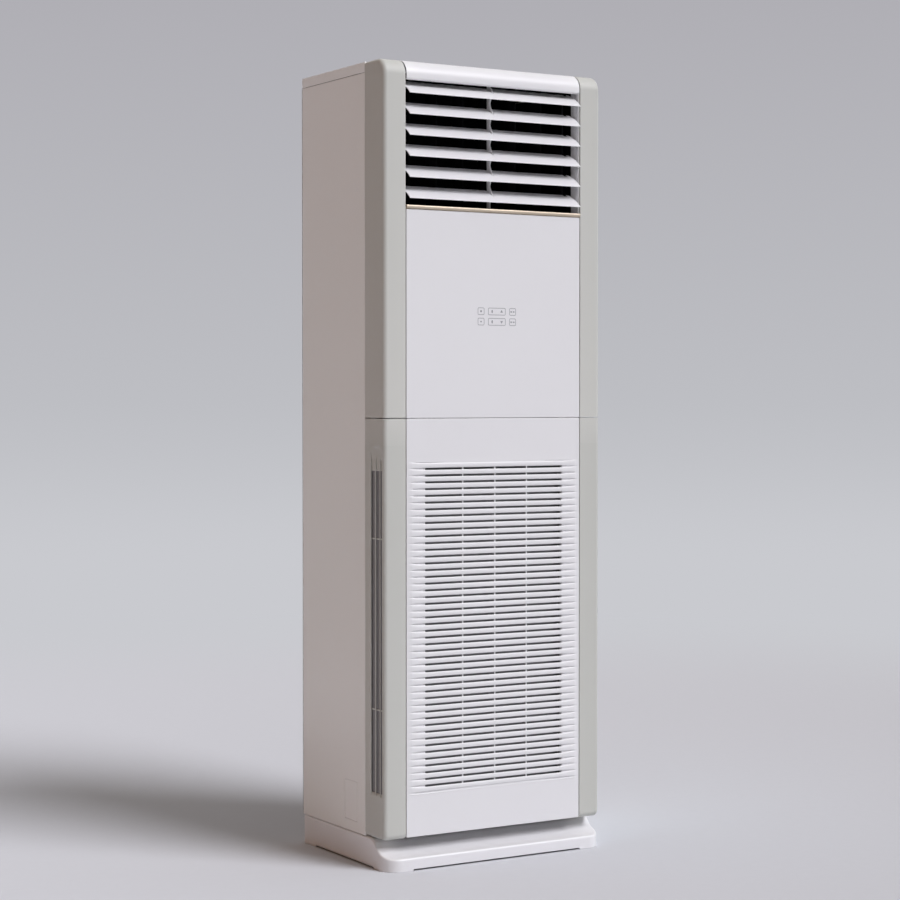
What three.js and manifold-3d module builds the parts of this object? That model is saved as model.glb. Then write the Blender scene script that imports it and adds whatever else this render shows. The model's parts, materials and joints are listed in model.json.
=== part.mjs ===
// Floor standing air conditioner, indoor unit: a tall sheet steel cabinet on a moulded plinth, with
// corner pillars and front covers of white moulded plastic. A blower behind the lower grille draws
// room air through a filter and lifts it through a leaning coil to the louvred outlet at the top.
// Millimetres. +Z up, the front faces -Y, the origin is on the floor under the cabinet's middle.
import * as THREE from "three";
import { mergeVertices } from "three/addons/utils/BufferGeometryUtils.js";
import Module from "manifold-3d";

const wasm = await Module();
wasm.setup();

// ---------------------------------------------------------------- driving dimensions

// Overall size and common thicknesses
const WIDTH = 594;
const DEPTH = 420;
const HEIGHT = 1850;
const GAP = 0.3; // between two pieces fixed face to face
const RUNNING = 0.3; // round a pin in its hole, on the radius
const SEAM = 2; // visible joint between two covers
const SHEET = 1.2; // cabinet steel
const WALL = 2.5; // moulded covers

// Plinth
const PLINTH_HEIGHT = 69;
const PLINTH_CORNER = 40;
const PLINTH_WALL = 3;
const TOE_HEIGHT = 30;
const TOE_SLOPE_RUN = 85; // from the toe's front back to the flat top
const PAD_LENGTH = 67; // corner that stands on the floor
const PAD_LIFT = 4; // how far the rim between the corners is raised

// Cabinet sheets
const FRONT_FLANGE = 25;
const SIDE_FLANGE = 15; // at the rear and the top
const DECK_FLANGE = 15;
const PLATE = 1.5; // tray, deck and partition
const TRAY_RIM = 15;
const TOP_COVER_SKIRT = 23.6;
const KNOCKOUT_WIDTH = 66;
const KNOCKOUT_HEIGHT = 94;
const KNOCKOUT_GROOVE = 1.2;
const KNOCKOUT_GROOVE_DEPTH = 0.4;
const KNOCKOUT_SETBACK = 35; // behind the side panel's front edge
const KNOCKOUT_RISE = 25; // above its bottom edge
const GROMMET_RADIUS = 13;
const GROMMET_INSET = 67; // from the left side
const GROMMET_RISE = 60; // above the rear panel's bottom

// Front covers
const FACE_SETBACK = 17; // how far the covers stand behind the plinth's toe
const PILLAR_WIDTH = 56.7;
const PILLAR_DEPTH = 89.5;
const PILLAR_CORNER = 10;
const CROWN_RADIUS = 36;
const FOOT_RADIUS = 14;
const LEDGE_WIDTH = 14.3;
const PANEL_DEPTH = 15; // the panels' edge flanges
const DOOR_BOTTOM = 73;
const DOOR_TOP = 1033;

// Air outlet
const BAR_HEIGHT = 45.4;
const TRIM_HEIGHT = 10;
const TRIM_PROUD = 3;
const LOUVRE_COUNT = 6;
const LOUVRE_PITCH = 47.7;
const LOUVRE_CHORD = 62;
const LOUVRE_CAMBER = 3.5;
const LOUVRE_THICKNESS = 2.6;
const LOUVRE_TILT = 31; // degrees at rest, front edge low
const LOUVRE_SETBACK = 16; // the pivots stand behind the front face
const LOUVRE_TOP_ROOM = 14.3; // first pivot below the top bar
const LOUVRE_BOTTOM_ROOM = 31.5; // last pivot above the trim strip
const LOUVRE_END_GAP = 3;
const CRANK_RADIUS = 36;
const CRANK_ANGLE = -30; // degrees from the louvre's chord
const LINK_INSET = 16; // the link stands inside the right cheek
const LINK_THICKNESS = 4;
const LINK_END = 5; // beyond its outermost pin
const LOUVRE_PIN_RADIUS = 2.2;
const MIDDLE_PIN_RADIUS = 1.5;
const CRANK_PIN_RADIUS = 1.5;
const POST_HUB = 4.5; // round each middle pin
const POST_THICKNESS = 3;
const VANE_COUNT = 6;
const VANE_PITCH = 73;
const VANE_CHORD = 50;
const VANE_THICKNESS = 1.6;
const VANE_SETBACK = 108; // the vane pivots stand behind the front face
const VANE_CRANK = 32;
const VANE_PIN_RADIUS = 2;
const VANE_LINK_PIN_RADIUS = 1.5;
const DUCT_DEPTH = 117;
const DUCT_WALL = 2;
const CHEEK_WALL = 2.4;

// Lower grille and filter
const GRILLE_PITCH = 15.5;
const SLOT_HEIGHT = 4.5;
const SLOT_RUN = 376; // all four columns of slots
const SLOT_INNER_RUN = 176; // the two inner columns
const SLOT_BRIDGE = 3;
const RIB_RUN = 452;
const RIB_PROUD = 2;
const GRILLE_TOP_BORDER = 103; // plain panel above the first rib
const GRILLE_BOTTOM_BORDER = 92; // plain panel below the last rib
const FILTER_WIDTH = 410;
const FILTER_FRAME = 14;
const FILTER_THICKNESS = 6;
const FILTER_STANDOFF = 20; // behind the panel's back
const RAIL_WALL = 2;
const RAIL_LIP = 8; // over the filter's edge
const FILTER_MARGIN = 15; // beyond the grille, above and below

// Side inlet in each lower pillar
const INLET_TOP = 914;
const INLET_BOTTOM = 175;
const INLET_SCOOP = 57; // height of the taper above the slots
const INLET_SILL = 12; // height of the slope below them
const INLET_RUN = 51.5; // front to back
const INLET_FRONT = 10; // from the front face
const INLET_DEPTH = 3;
const INLET_SLOTS = 3;
const INLET_RIB = 6.5;
const INLET_ROWS = 3;
const INLET_BRIDGE = 3;

// Blower
const BLOWER_AXIS_X = -10;
const BLOWER_AXIS_Z = 540;
const WHEEL_RADIUS = 185;
const WHEEL_WIDTH = 112;
const WHEEL_BLADES = 24;
const SCROLL_START = 205;
const SCROLL_GROWTH = 70;
const SCROLL_DEPTH = 148;
const SCROLL_WALL = 2;
const INLET_RADIUS = 158;
const PARTITION_SETBACK = 193; // partition behind the front face
const SHAFT_RADIUS = 8;
const MOTOR_RADIUS = 65;
const MOTOR_LENGTH = 46;

// Coil
const COIL_WIDTH = 510;
const COIL_THICKNESS = 60;
const COIL_LEAN = 24; // degrees from upright, top leaning back
const COIL_PLATE = 1.5;
const FIN_COUNT = 49;
const FIN_THICKNESS = 1.5;
const FIN_WEB = 3; // joins the fins on the coil's middle plane
const BEND_COUNT = 7;
const BEND_RADIUS = 12;
const TUBE_RADIUS = 4.8;
const PAN_HEIGHT = 16;
const PAN_DEPTH = 92;
const PAN_OVERHANG = 8; // beyond each end of the coil
const GAS_PIPE_RADIUS = 8;
const LIQUID_PIPE_RADIUS = 4.8;
const DRAIN_HOSE_RADIUS = 9;
const PIPE_ROOM = 1; // round a pipe in the deck's hole

// Electrical parts
const BOX_WIDTH = 300;
const BOX_HEIGHT = 210;
const BOX_DEPTH = 44;
const DISPLAY_WIDTH = 150;
const DISPLAY_HEIGHT = 70;
const DISPLAY_DROP = 241; // keys' middle below the trim strip
const DISPLAY_X = 5; // keys' middle beside the panel's middle
const DISPLAY_POST = 4; // between the panel and the board
const BOARD = 1.6;
const LOUVRE_MOTOR_RADIUS = 9;
const VANE_MOTOR_RADIUS = 13;

// Door fittings
const HINGE_PIN_RADIUS = 3;
const HINGE_SETBACK = 53; // door pivot behind the front face
const CATCH_DROP = 36; // catch below the door's top

// ---------------------------------------------------------------- derived planes

const HALF = WIDTH / 2;
const REAR = DEPTH / 2;
const TOE = -DEPTH / 2;
const FACE = TOE + FACE_SETBACK;
const PILLAR_BACK = FACE + PILLAR_DEPTH;
const PILLAR_INNER = HALF - PILLAR_WIDTH;
const PANEL_HALF = PILLAR_INNER - SEAM;
const LEDGE_FACE = FACE + PANEL_DEPTH + GAP;
const CABINET_BOTTOM = PLINTH_HEIGHT + GAP;
const CABINET_TOP = HEIGHT - TOP_COVER_SKIRT - GAP;
const INSIDE = HALF - SHEET - GAP; // half the room between the side panels
const INSIDE_REAR = REAR - SHEET * 2 - GAP * 2 - 0.1;
const UPPER_BOTTOM = DOOR_TOP + SEAM;
const BAR_BOTTOM = HEIGHT - BAR_HEIGHT;
const FIRST_PIVOT = BAR_BOTTOM - LOUVRE_TOP_ROOM;
const LAST_PIVOT = FIRST_PIVOT - (LOUVRE_COUNT - 1) * LOUVRE_PITCH;
const TRIM_TOP = LAST_PIVOT - LOUVRE_BOTTOM_ROOM;
const TRIM_BOTTOM = TRIM_TOP - TRIM_HEIGHT;
const UPPER_PANEL_TOP = TRIM_BOTTOM - GAP;
const PIVOT_Y = FACE + LOUVRE_SETBACK;
const CHEEK_OUTER = PILLAR_INNER - GAP;
const CHEEK_INNER = CHEEK_OUTER - CHEEK_WALL;
const LOUVRE_HALF = CHEEK_INNER - LOUVRE_END_GAP;
const LINK_X = CHEEK_INNER - LINK_INSET;
const FRAME_BACK = PIVOT_Y + 20;
const FRAME_BOTTOM = UPPER_PANEL_TOP + GAP;
const FRAME_TOP = BAR_BOTTOM + 20.5;
const DUCT_FRONT = FRAME_BACK + GAP;
const DUCT_BACK = DUCT_FRONT + DUCT_DEPTH;
const DUCT_TOP = FRAME_TOP - 1;
const VANE_Y = FACE + VANE_SETBACK;
const DECK_TOP = UPPER_BOTTOM - 3.5;
const DECK_BOTTOM = DECK_TOP - PLATE;
const DECK_FRONT = PILLAR_BACK + SHEET + GAP * 2;
const PARTITION_Y = FACE + PARTITION_SETBACK;
const SCROLL_FRONT = PARTITION_Y + PLATE + GAP;
const SCROLL_BACK = SCROLL_FRONT + SCROLL_DEPTH;
const NECK_INNER = BLOWER_AXIS_X + SCROLL_START / 2;
const NECK_OUTER = BLOWER_AXIS_X + SCROLL_START + SCROLL_GROWTH;
const PAN_FRONT = DECK_FRONT + 4;
const PAN_BACK = PAN_FRONT + PAN_DEPTH;
const BAFFLE_BACK = PILLAR_BACK;
const BAFFLE_FRONT = BAFFLE_BACK - 10;
const FILTER_FRONT = FACE + WALL + FILTER_STANDOFF;
const FILTER_BACK = FILTER_FRONT + FILTER_THICKNESS;
const FILTER_BOTTOM = DOOR_BOTTOM + GRILLE_BOTTOM_BORDER - FILTER_MARGIN;
const FILTER_TOP = DOOR_TOP - GRILLE_TOP_BORDER + FILTER_MARGIN;
const HINGE_Y = FACE + HINGE_SETBACK;
const HINGE_Z = DOOR_BOTTOM;

// ---------------------------------------------------------------- shape helpers

const degrees = THREE.MathUtils.degToRad;
const PAST = 1; // how far a cut runs past the face it opens

// A closed three.js geometry as a solid for joining and cutting.
function solid(geometry) {
  const bare = geometry.index ? geometry.toNonIndexed() : geometry;
  bare.deleteAttribute("normal");
  bare.deleteAttribute("uv");
  const merged = mergeVertices(bare, 1e-3);
  const mesh = new wasm.Mesh({
    numProp: 3,
    vertProperties: merged.attributes.position.array,
    triVerts: new Uint32Array(merged.index.array),
  });
  return new wasm.Manifold(mesh);
}

function join(first, ...others) {
  return others.reduce((sum, other) => sum.add(other), first);
}

function cut(first, ...others) {
  return others.reduce((rest, other) => rest.subtract(other), first);
}

// Moves each corner of a shape made between 0 and 1 on an axis to exactly the low or high value,
// so that faces that should be flush are.
function span(geometry, axis, [low, high]) {
  const position = geometry.getAttribute("position");
  for (let i = 0; i < position.count; i += 1) {
    position.setComponent(i, axis, position.getComponent(i, axis) > 0.5 ? high : low);
  }
}

// A box between two x, two y and two z values.
function block(x, y, z) {
  const box = new THREE.BoxGeometry(1, 1, 1).translate(0.5, 0.5, 0.5);
  [x, y, z].forEach((range, axis) => span(box, axis, range));
  return solid(box);
}

// An outline of [a, b] points carried along one axis. The outline lies in y-z for axis x,
// in x-z for axis y and in x-y for axis z.
function prism(outline, axis, [low, high]) {
  const shape = new THREE.Shape(outline.map(([a, b]) => new THREE.Vector2(a, b)));
  const flat = new THREE.ExtrudeGeometry(shape, { depth: 1, bevelEnabled: false });
  span(flat, 2, axis === "y" ? [-high, -low] : [low, high]);
  const turn = new THREE.Matrix4();
  if (axis === "x") turn.set(0, 0, 1, 0, 1, 0, 0, 0, 0, 1, 0, 0, 0, 0, 0, 1);
  if (axis === "y") turn.set(1, 0, 0, 0, 0, 0, -1, 0, 0, 1, 0, 0, 0, 0, 0, 1);
  return solid(flat.applyMatrix4(turn));
}

// Points on an arc round [a, b] from one angle to another, in degrees.
function arc([a, b], radius, from, to, steps) {
  return Array.from({ length: steps + 1 }, (_, i) => {
    const angle = degrees(from + ((to - from) * i) / steps);
    return [a + radius * Math.cos(angle), b + radius * Math.sin(angle)];
  });
}

// Points on a quadratic curve.
function bend(start, control, end, steps) {
  const [p, q, r] = [start, control, end].map(([a, b]) => new THREE.Vector2(a, b));
  return new THREE.QuadraticBezierCurve(p, q, r).getPoints(steps).map((v) => [v.x, v.y]);
}

// A round bar along an axis between two values, centred on the other two coordinates.
function rod(axis, [a, b], radius, [low, high], sides = 12) {
  return prism(arc([a, b], radius, 0, 360, sides).slice(0, -1), axis, [low, high]);
}

// A round tube that follows a smooth path through the points.
function pipe(points, radius, steps, sides = 10) {
  const through = points.map((p) => new THREE.Vector3(...p));
  const path = new THREE.CatmullRomCurve3(through, false, "catmullrom", 0.2);
  const round = arc([0, 0], radius, 0, 360, sides).slice(0, -1);
  const section = new THREE.Shape(round.map(([a, b]) => new THREE.Vector2(a, b)));
  return solid(new THREE.ExtrudeGeometry(section, { steps, extrudePath: path }));
}

// ---------------------------------------------------------------- finishes

function finish(color, roughness, metalness = 0) {
  return new THREE.MeshStandardMaterial({ color, roughness, metalness });
}

const whitePaint = finish("#e6e2de", 0.45);
const whitePlastic = finish("#f0eff1", 0.35);
const greyPlastic = finish("#d8d7d4", 0.4);
const gold = finish("#cdb489", 0.25, 1);
const blackPlastic = finish("#141416", 0.6);
const foam = finish("#f4f4f2", 0.9);
const galvanised = finish("#a9adb0", 0.45, 1);
const aluminium = finish("#b9bcc0", 0.4, 1);
const copper = finish("#b87449", 0.3, 1);
const circuitGreen = finish("#1f6b3a", 0.5);
const rubber = finish("#222222", 0.8);
const netting = finish("#3c4046", 0.7);

// ---------------------------------------------------------------- plinth and cabinet

// The plinth's side outline: flat top, an S-shaped slope and a low toe. The inset moves it inwards.
function plinthOutline(inset) {
  const top = PLINTH_HEIGHT - inset;
  const toe = TOE + inset;
  const middle = toe + TOE_SLOPE_RUN * 0.7;
  const mid = TOE_HEIGHT - inset + (PLINTH_HEIGHT - TOE_HEIGHT) * 0.58;
  const step = TOE_HEIGHT - inset;
  const upper = bend([toe + TOE_SLOPE_RUN + 7, top], [toe + TOE_SLOPE_RUN - 15, top], [middle, mid], 5);
  const lower = bend([middle, mid], [middle - 7, step + 11], [toe + 15, step + 1], 5);
  return [
    [REAR - inset, inset ? -PAST : 0],
    [REAR - inset, top],
    ...upper,
    ...lower.slice(1),
    ...bend([toe + 7, step], [toe, step], [toe, step - 7], 3),
    [toe, inset ? -PAST : 0],
  ];
}

function plinthPlan(inset) {
  const radius = PLINTH_CORNER - inset;
  const x = HALF - PLINTH_CORNER;
  const y = TOE + PLINTH_CORNER;
  return [
    [HALF - inset, REAR - inset],
    [-HALF + inset, REAR - inset],
    ...arc([-x, y], radius, 180, 270, 6),
    ...arc([x, y], radius, 270, 360, 6),
  ];
}

function plinthBody(inset) {
  const rise = prism(plinthOutline(inset), "x", [-HALF - PAST, HALF + PAST]);
  return rise.intersect(prism(plinthPlan(inset), "z", [inset ? -PAST : 0, PLINTH_HEIGHT]));
}

function basePlinth() {
  const pad = HALF - PAD_LENGTH;
  const sideGap = [TOE + PAD_LENGTH, REAR - PAD_LENGTH];
  const lift = [-PAST, PAD_LIFT];
  return cut(
    plinthBody(0),
    plinthBody(PLINTH_WALL),
    block([-pad, pad], [TOE - PAST, REAR + PAST], lift),
    block([-HALF - PAST, HALF + PAST], sideGap, lift),
  );
}

// Drip tray that closes the cabinet's floor, with a rim at each side.
function baseTray() {
  const y = [DECK_FRONT, INSIDE_REAR];
  const inner = INSIDE - SHEET;
  return cut(
    block([-INSIDE, INSIDE], y, [CABINET_BOTTOM, CABINET_BOTTOM + TRAY_RIM]),
    block([-inner, inner], [y[0] - PAST, y[1] + PAST], [CABINET_BOTTOM + PLATE, HEIGHT]),
  );
}

// Left side panel with its front, rear and top flanges and the outline of a pipe knock-out.
function sidePanel() {
  const front = PILLAR_BACK + GAP;
  const back = REAR - SHEET;
  const z = [CABINET_BOTTOM, CABINET_TOP];
  const room = [-HALF + SHEET, 0];
  return cut(
    block([-HALF, -HALF + FRONT_FLANGE], [front, back], z),
    block(room, [front + SHEET, back - SHEET], [z[0] - PAST, z[1] - SHEET]),
    block([-HALF + SIDE_FLANGE, 0], [front + SHEET, back + PAST], [z[0] - PAST, z[1] + PAST]),
    knockoutGroove(front + KNOCKOUT_SETBACK, CABINET_BOTTOM + KNOCKOUT_RISE),
  );
}

// Shallow rectangular groove in the left side panel's outer face.
function knockoutGroove(y, z) {
  const edge = KNOCKOUT_GROOVE;
  const floor = -HALF + KNOCKOUT_GROOVE_DEPTH;
  return cut(
    block([-HALF - PAST, floor], [y, y + KNOCKOUT_WIDTH], [z, z + KNOCKOUT_HEIGHT]),
    block(
      [-HALF - PAST * 2, floor + PAST],
      [y + edge, y + KNOCKOUT_WIDTH - edge],
      [z + edge, z + KNOCKOUT_HEIGHT - edge],
    ),
  );
}

function rearPanel() {
  const y = [REAR - SHEET + GAP, REAR];
  const sheet = block([-HALF, HALF], y, [CABINET_BOTTOM, CABINET_TOP]);
  return cut(sheet, rod("y", grommetCentre(), GROMMET_RADIUS, [y[0] - PAST, REAR + PAST], 16));
}

function grommetCentre() {
  return [-HALF + GROMMET_INSET, CABINET_BOTTOM + GROMMET_RISE];
}

// Rubber bush for the supply cable in the rear panel.
function cableGrommet() {
  const centre = grommetCentre();
  const sheet = REAR - SHEET;
  const neck = rod("y", centre, GROMMET_RADIUS - GAP, [sheet - 3, REAR], 16);
  const collar = rod("y", centre, GROMMET_RADIUS + 4, [sheet - 3, sheet], 16);
  return cut(join(neck, collar), rod("y", centre, GROMMET_RADIUS - 4, [sheet - 5, REAR + PAST], 16));
}

function topCover() {
  const front = PILLAR_BACK + GAP;
  const z = [HEIGHT - TOP_COVER_SKIRT, HEIGHT];
  return cut(
    block([-HALF, HALF], [front, REAR], z),
    block([-HALF + SHEET, HALF - SHEET], [front + SHEET, REAR - SHEET], [z[0] - PAST, HEIGHT - SHEET]),
  );
}

// Shelf between the blower and the coil, with the blower's outlet and the pipes' and hose's holes.
function fanDeck() {
  const y = [DECK_FRONT, INSIDE_REAR];
  const inner = INSIDE - SHEET;
  const through = [DECK_BOTTOM - PAST, DECK_TOP + PAST];
  return cut(
    block([-INSIDE, INSIDE], y, [DECK_TOP - DECK_FLANGE, DECK_TOP]),
    block([-inner, inner], [y[0] + SHEET, y[1] + PAST], [DECK_TOP - DECK_FLANGE - PAST, DECK_BOTTOM]),
    block([NECK_INNER + 4, NECK_OUTER - 4], [SCROLL_FRONT + 4, SCROLL_BACK - 4], through),
    rod("z", gasLine(), GAS_PIPE_RADIUS + PIPE_ROOM, through),
    rod("z", liquidLine(), LIQUID_PIPE_RADIUS + PIPE_ROOM, through),
    rod("z", hoseCentre(), DRAIN_HOSE_RADIUS + PIPE_ROOM, through),
  );
}

// Upright sheet between the filter room and the blower, with the blower's inlet.
function blowerPartition() {
  const z = [CABINET_BOTTOM + PLATE + GAP, DECK_BOTTOM - GAP];
  const edge = INSIDE - SHEET - GAP;
  const y = [PARTITION_Y - DECK_FLANGE, PARTITION_Y + PLATE];
  const inner = edge - SHEET;
  return cut(
    block([-edge, edge], y, z),
    block([-inner, inner], [y[0] - PAST, PARTITION_Y], [z[0] - PAST, z[1] + PAST]),
    rod("y", [BLOWER_AXIS_X, BLOWER_AXIS_Z], INLET_RADIUS + 3, [PARTITION_Y - PAST, y[1] + PAST], 32),
  );
}

// ---------------------------------------------------------------- pillars

// Side outline of a pillar, y against z, with a rounded crown or a rounded foot at the front.
function pillarSide({ bottom, top, crown, foot }, inset) {
  const front = FACE + inset;
  const back = PILLAR_BACK + inset;
  const open = inset ? [[FACE + foot, bottom - inset]] : [];
  const toe = foot ? arc([FACE + foot, bottom + foot], foot - inset, 270, 180, 4) : [];
  const low = foot ? [...open, ...toe] : [[front, bottom - inset]];
  const high = crown ? arc([FACE + crown, top - crown], crown - inset, 180, 90, 8) : [[front, top - inset]];
  return [[back, bottom - inset], ...low, ...high, [back, top - inset]].reverse();
}

// Plan of the left pillar, and of the hollow inside it, which is open to the back and inwards.
function pillarPlan() {
  return [
    [-PILLAR_INNER, PILLAR_BACK],
    [-HALF, PILLAR_BACK],
    ...arc([-HALF + PILLAR_CORNER, FACE + PILLAR_CORNER], PILLAR_CORNER, 180, 270, 4),
    [-PILLAR_INNER, FACE],
  ];
}

function pillarHollowPlan() {
  const step = LEDGE_FACE + WALL;
  return [
    [-PILLAR_INNER + PAST, PILLAR_BACK + PAST],
    [-HALF + WALL, PILLAR_BACK + PAST],
    ...arc([-HALF + PILLAR_CORNER, FACE + PILLAR_CORNER], PILLAR_CORNER - WALL, 180, 270, 3),
    [-PILLAR_INNER - WALL, FACE + WALL],
    [-PILLAR_INNER - WALL, step],
    [-PILLAR_INNER + PAST, step],
  ];
}

// Left pillar shell with a rear flange and the ledge that carries the edge of the front panel.
function pillarShell(ends, ledgeTop, hollowGrowth = (hollow) => hollow) {
  const x = [-HALF - PAST, -PILLAR_INNER + PAST];
  const z = [ends.bottom, ends.top];
  const outer = prism(pillarPlan(), "z", z).intersect(prism(pillarSide(ends, 0), "x", x));
  const room = prism(pillarHollowPlan(), "z", [ends.bottom - WALL - PAST, ends.top]);
  const hollow = room.intersect(prism(pillarSide(ends, WALL), "x", x));
  const flange = block(
    [-HALF + 1, -HALF + 17],
    [PILLAR_BACK - WALL, PILLAR_BACK],
    [ends.bottom + 8, ends.top - WALL],
  );
  const ledge = block(
    [-PILLAR_INNER - WALL, -PILLAR_INNER + LEDGE_WIDTH],
    [LEDGE_FACE, LEDGE_FACE + WALL],
    [ends.bottom + 15, ledgeTop],
  );
  return join(cut(outer, hollowGrowth(hollow)), flange, ledge);
}

// Upper left pillar: beside the air outlet its inner wall is only a lip in front of the cheek.
function upperPillar() {
  const shell = pillarShell({ bottom: UPPER_BOTTOM, top: HEIGHT, crown: CROWN_RADIUS }, UPPER_PANEL_TOP - 5);
  const lip = block(
    [-PILLAR_INNER - WALL - PAST, -PILLAR_INNER + PAST],
    [FACE + 5, LEDGE_FACE + WALL + PAST],
    [UPPER_PANEL_TOP - 4, FRAME_TOP + 1],
  );
  return cut(shell, lip);
}

// The volume of the side inlet's recess in the left lower pillar, grown by a wall on request:
// a slope below the slots, a floor behind them and a long scoop above them.
function inletRecess(growth) {
  const floor = -HALF + INLET_DEPTH + growth;
  const outline = [
    [-HALF - PAST, INLET_BOTTOM - INLET_SILL - growth],
    [-HALF, INLET_BOTTOM - INLET_SILL - growth],
    [floor, INLET_BOTTOM - growth],
    [floor, INLET_TOP + growth],
    [-HALF, INLET_TOP + INLET_SCOOP + growth],
    [-HALF - PAST, INLET_TOP + INLET_SCOOP + growth],
  ];
  const front = FACE + INLET_FRONT - growth;
  return prism(outline, "y", [front, front + INLET_RUN + growth * 2]);
}

// The side inlet's slots, in columns from front to back and rows from top to bottom.
function inletSlots() {
  const wide = (INLET_RUN - INLET_RIB * (INLET_SLOTS - 1)) / INLET_SLOTS;
  const tall = (INLET_TOP - INLET_BOTTOM - INLET_BRIDGE * (INLET_ROWS - 1)) / INLET_ROWS;
  const x = [-HALF + INLET_DEPTH - PAST, -HALF + INLET_DEPTH + WALL + PAST];
  const slots = [];
  for (let column = 0; column < INLET_SLOTS; column += 1) {
    for (let row = 0; row < INLET_ROWS; row += 1) {
      const y = FACE + INLET_FRONT + column * (wide + INLET_RIB);
      const z = INLET_BOTTOM + row * (tall + INLET_BRIDGE);
      slots.push(block(x, [y, y + wide], [z, z + tall]));
    }
  }
  return slots;
}

// Lower left pillar: part of the door. It has the side inlet, the ear that turns on the hinge pin
// and the tongue that the catch holds.
function lowerPillar() {
  const ends = { bottom: DOOR_BOTTOM - 2, top: DOOR_TOP, foot: FOOT_RADIUS };
  const shell = pillarShell(ends, DOOR_TOP - 10, (hollow) => cut(hollow, inletRecess(WALL)));
  const [earLow, earHigh] = earRange();
  const tip = 7;
  const ear = [
    ...arc([HINGE_Y, HINGE_Z], tip, 300, 390, 4),
    [HINGE_Y + tip, HINGE_Z + 24],
    [FACE + 1, HINGE_Z + 40],
    [FACE + 1, HINGE_Z + 12],
    ...arc([HINGE_Y, HINGE_Z], tip, 210, 285, 3),
  ];
  const tongueZ = DOOR_TOP - CATCH_DROP;
  const tongueY = [PILLAR_BACK - 21, PILLAR_BACK - 4.5];
  const tongue = block([-HALF + 1, -HALF + 32], tongueY, [tongueZ, tongueZ + WALL]);
  return cut(
    join(shell, prism(ear, "x", [earLow, earHigh]), tongue),
    inletRecess(0),
    ...inletSlots(),
    rod("x", [HINGE_Y, HINGE_Z], HINGE_PIN_RADIUS + RUNNING, [earLow - PAST, earHigh + PAST]),
  );
}

function earRange() {
  const outer = -PILLAR_INNER - WALL - 9;
  return [outer - 3, outer];
}

// Steel bracket on the tray with the pin that the door turns on.
function doorHinge() {
  const [earLow, earHigh] = earRange();
  const plate = [earLow - 5.5, earLow - 3];
  const foot = [CABINET_BOTTOM + PLATE + GAP, CABINET_BOTTOM + PLATE * 2 + GAP];
  return join(
    block(plate, [HINGE_Y - 6, DECK_FRONT + 40], [foot[0], foot[0] + 11]),
    block([plate[0] - 18, plate[1]], [DECK_FRONT + 4, DECK_FRONT + 40], foot),
    rod("x", [HINGE_Y, HINGE_Z], HINGE_PIN_RADIUS, [plate[0] + 0.5, earHigh + 3]),
  );
}

// Two-pronged clip on the side panel's flange that holds the door's tongue.
function doorCatch() {
  const x = [-HALF + 18, -HALF + 35];
  const slot = DOOR_TOP - CATCH_DROP + 1.25;
  const body = block(x, [PILLAR_BACK - 19, PILLAR_BACK], [slot - 7.5, slot + 7.5]);
  const mouth = [PILLAR_BACK - 20, PILLAR_BACK - 4];
  return cut(body, block([x[0] - PAST, x[1] + PAST], mouth, [slot - 2, slot + 2]));
}

// ---------------------------------------------------------------- front panels and trim

// A shallow tray of moulded plastic, open at the back.
function panelShell(z) {
  const y = [FACE, FACE + PANEL_DEPTH];
  return cut(
    block([-PANEL_HALF, PANEL_HALF], y, z),
    block([-PANEL_HALF + WALL, PANEL_HALF - WALL], [FACE + WALL, y[1] + PAST], [z[0] + WALL, z[1] - WALL]),
  );
}

// Upper panel with the four posts that carry the touch key board behind it.
function upperFrontPanel() {
  const shell = panelShell([UPPER_BOTTOM, UPPER_PANEL_TOP]);
  const z = displayMiddle();
  const posts = [];
  for (const x of [-DISPLAY_WIDTH / 2 + 6, DISPLAY_WIDTH / 2 - 6]) {
    for (const rise of [-DISPLAY_HEIGHT / 2 + 6, DISPLAY_HEIGHT / 2 - 6]) {
      posts.push(rod("y", [x + DISPLAY_X, z + rise], 3, [FACE + 1, FACE + WALL + DISPLAY_POST], 8));
    }
  }
  return join(shell, ...posts);
}

function displayMiddle() {
  return TRIM_TOP - DISPLAY_DROP;
}

function displayBoard() {
  const x = [DISPLAY_X - DISPLAY_WIDTH / 2, DISPLAY_X + DISPLAY_WIDTH / 2];
  const z = [displayMiddle() - DISPLAY_HEIGHT / 2, displayMiddle() + DISPLAY_HEIGHT / 2];
  const y = FACE + WALL + DISPLAY_POST + GAP;
  return block(x, [y, y + BOARD], z);
}

// Metal-look strip under the outlet, a shallow D in section.
function trimStrip() {
  const y = FACE;
  const outline = [
    [y + 3, TRIM_BOTTOM],
    [y + 3, TRIM_TOP],
    [y, TRIM_TOP],
    [y - TRIM_PROUD, TRIM_TOP - 2],
    [y - TRIM_PROUD, TRIM_BOTTOM + 2],
    [y, TRIM_BOTTOM],
  ];
  return prism(outline, "x", [-PANEL_HALF, PANEL_HALF]);
}

// Cross-section of the bar over the outlet: a curved shell that follows the pillars' crown.
function topBarOutline() {
  const centre = [FACE + CROWN_RADIUS, HEIGHT - CROWN_RADIUS];
  const skirt = HEIGHT - 12;
  return [
    [PILLAR_BACK, HEIGHT],
    ...arc(centre, CROWN_RADIUS, 90, 180, 8),
    [FACE, BAR_BOTTOM + 1.2],
    [FACE + 1.2, BAR_BOTTOM],
    [FACE + WALL, BAR_BOTTOM],
    ...arc(centre, CROWN_RADIUS - WALL, 180, 90, 8),
    [PILLAR_BACK - WALL, HEIGHT - WALL],
    [PILLAR_BACK - WALL, skirt],
    [PILLAR_BACK, skirt],
  ];
}

function topBar() {
  return prism(topBarOutline(), "x", [-CHEEK_INNER + GAP, CHEEK_INNER - GAP]);
}

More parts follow.
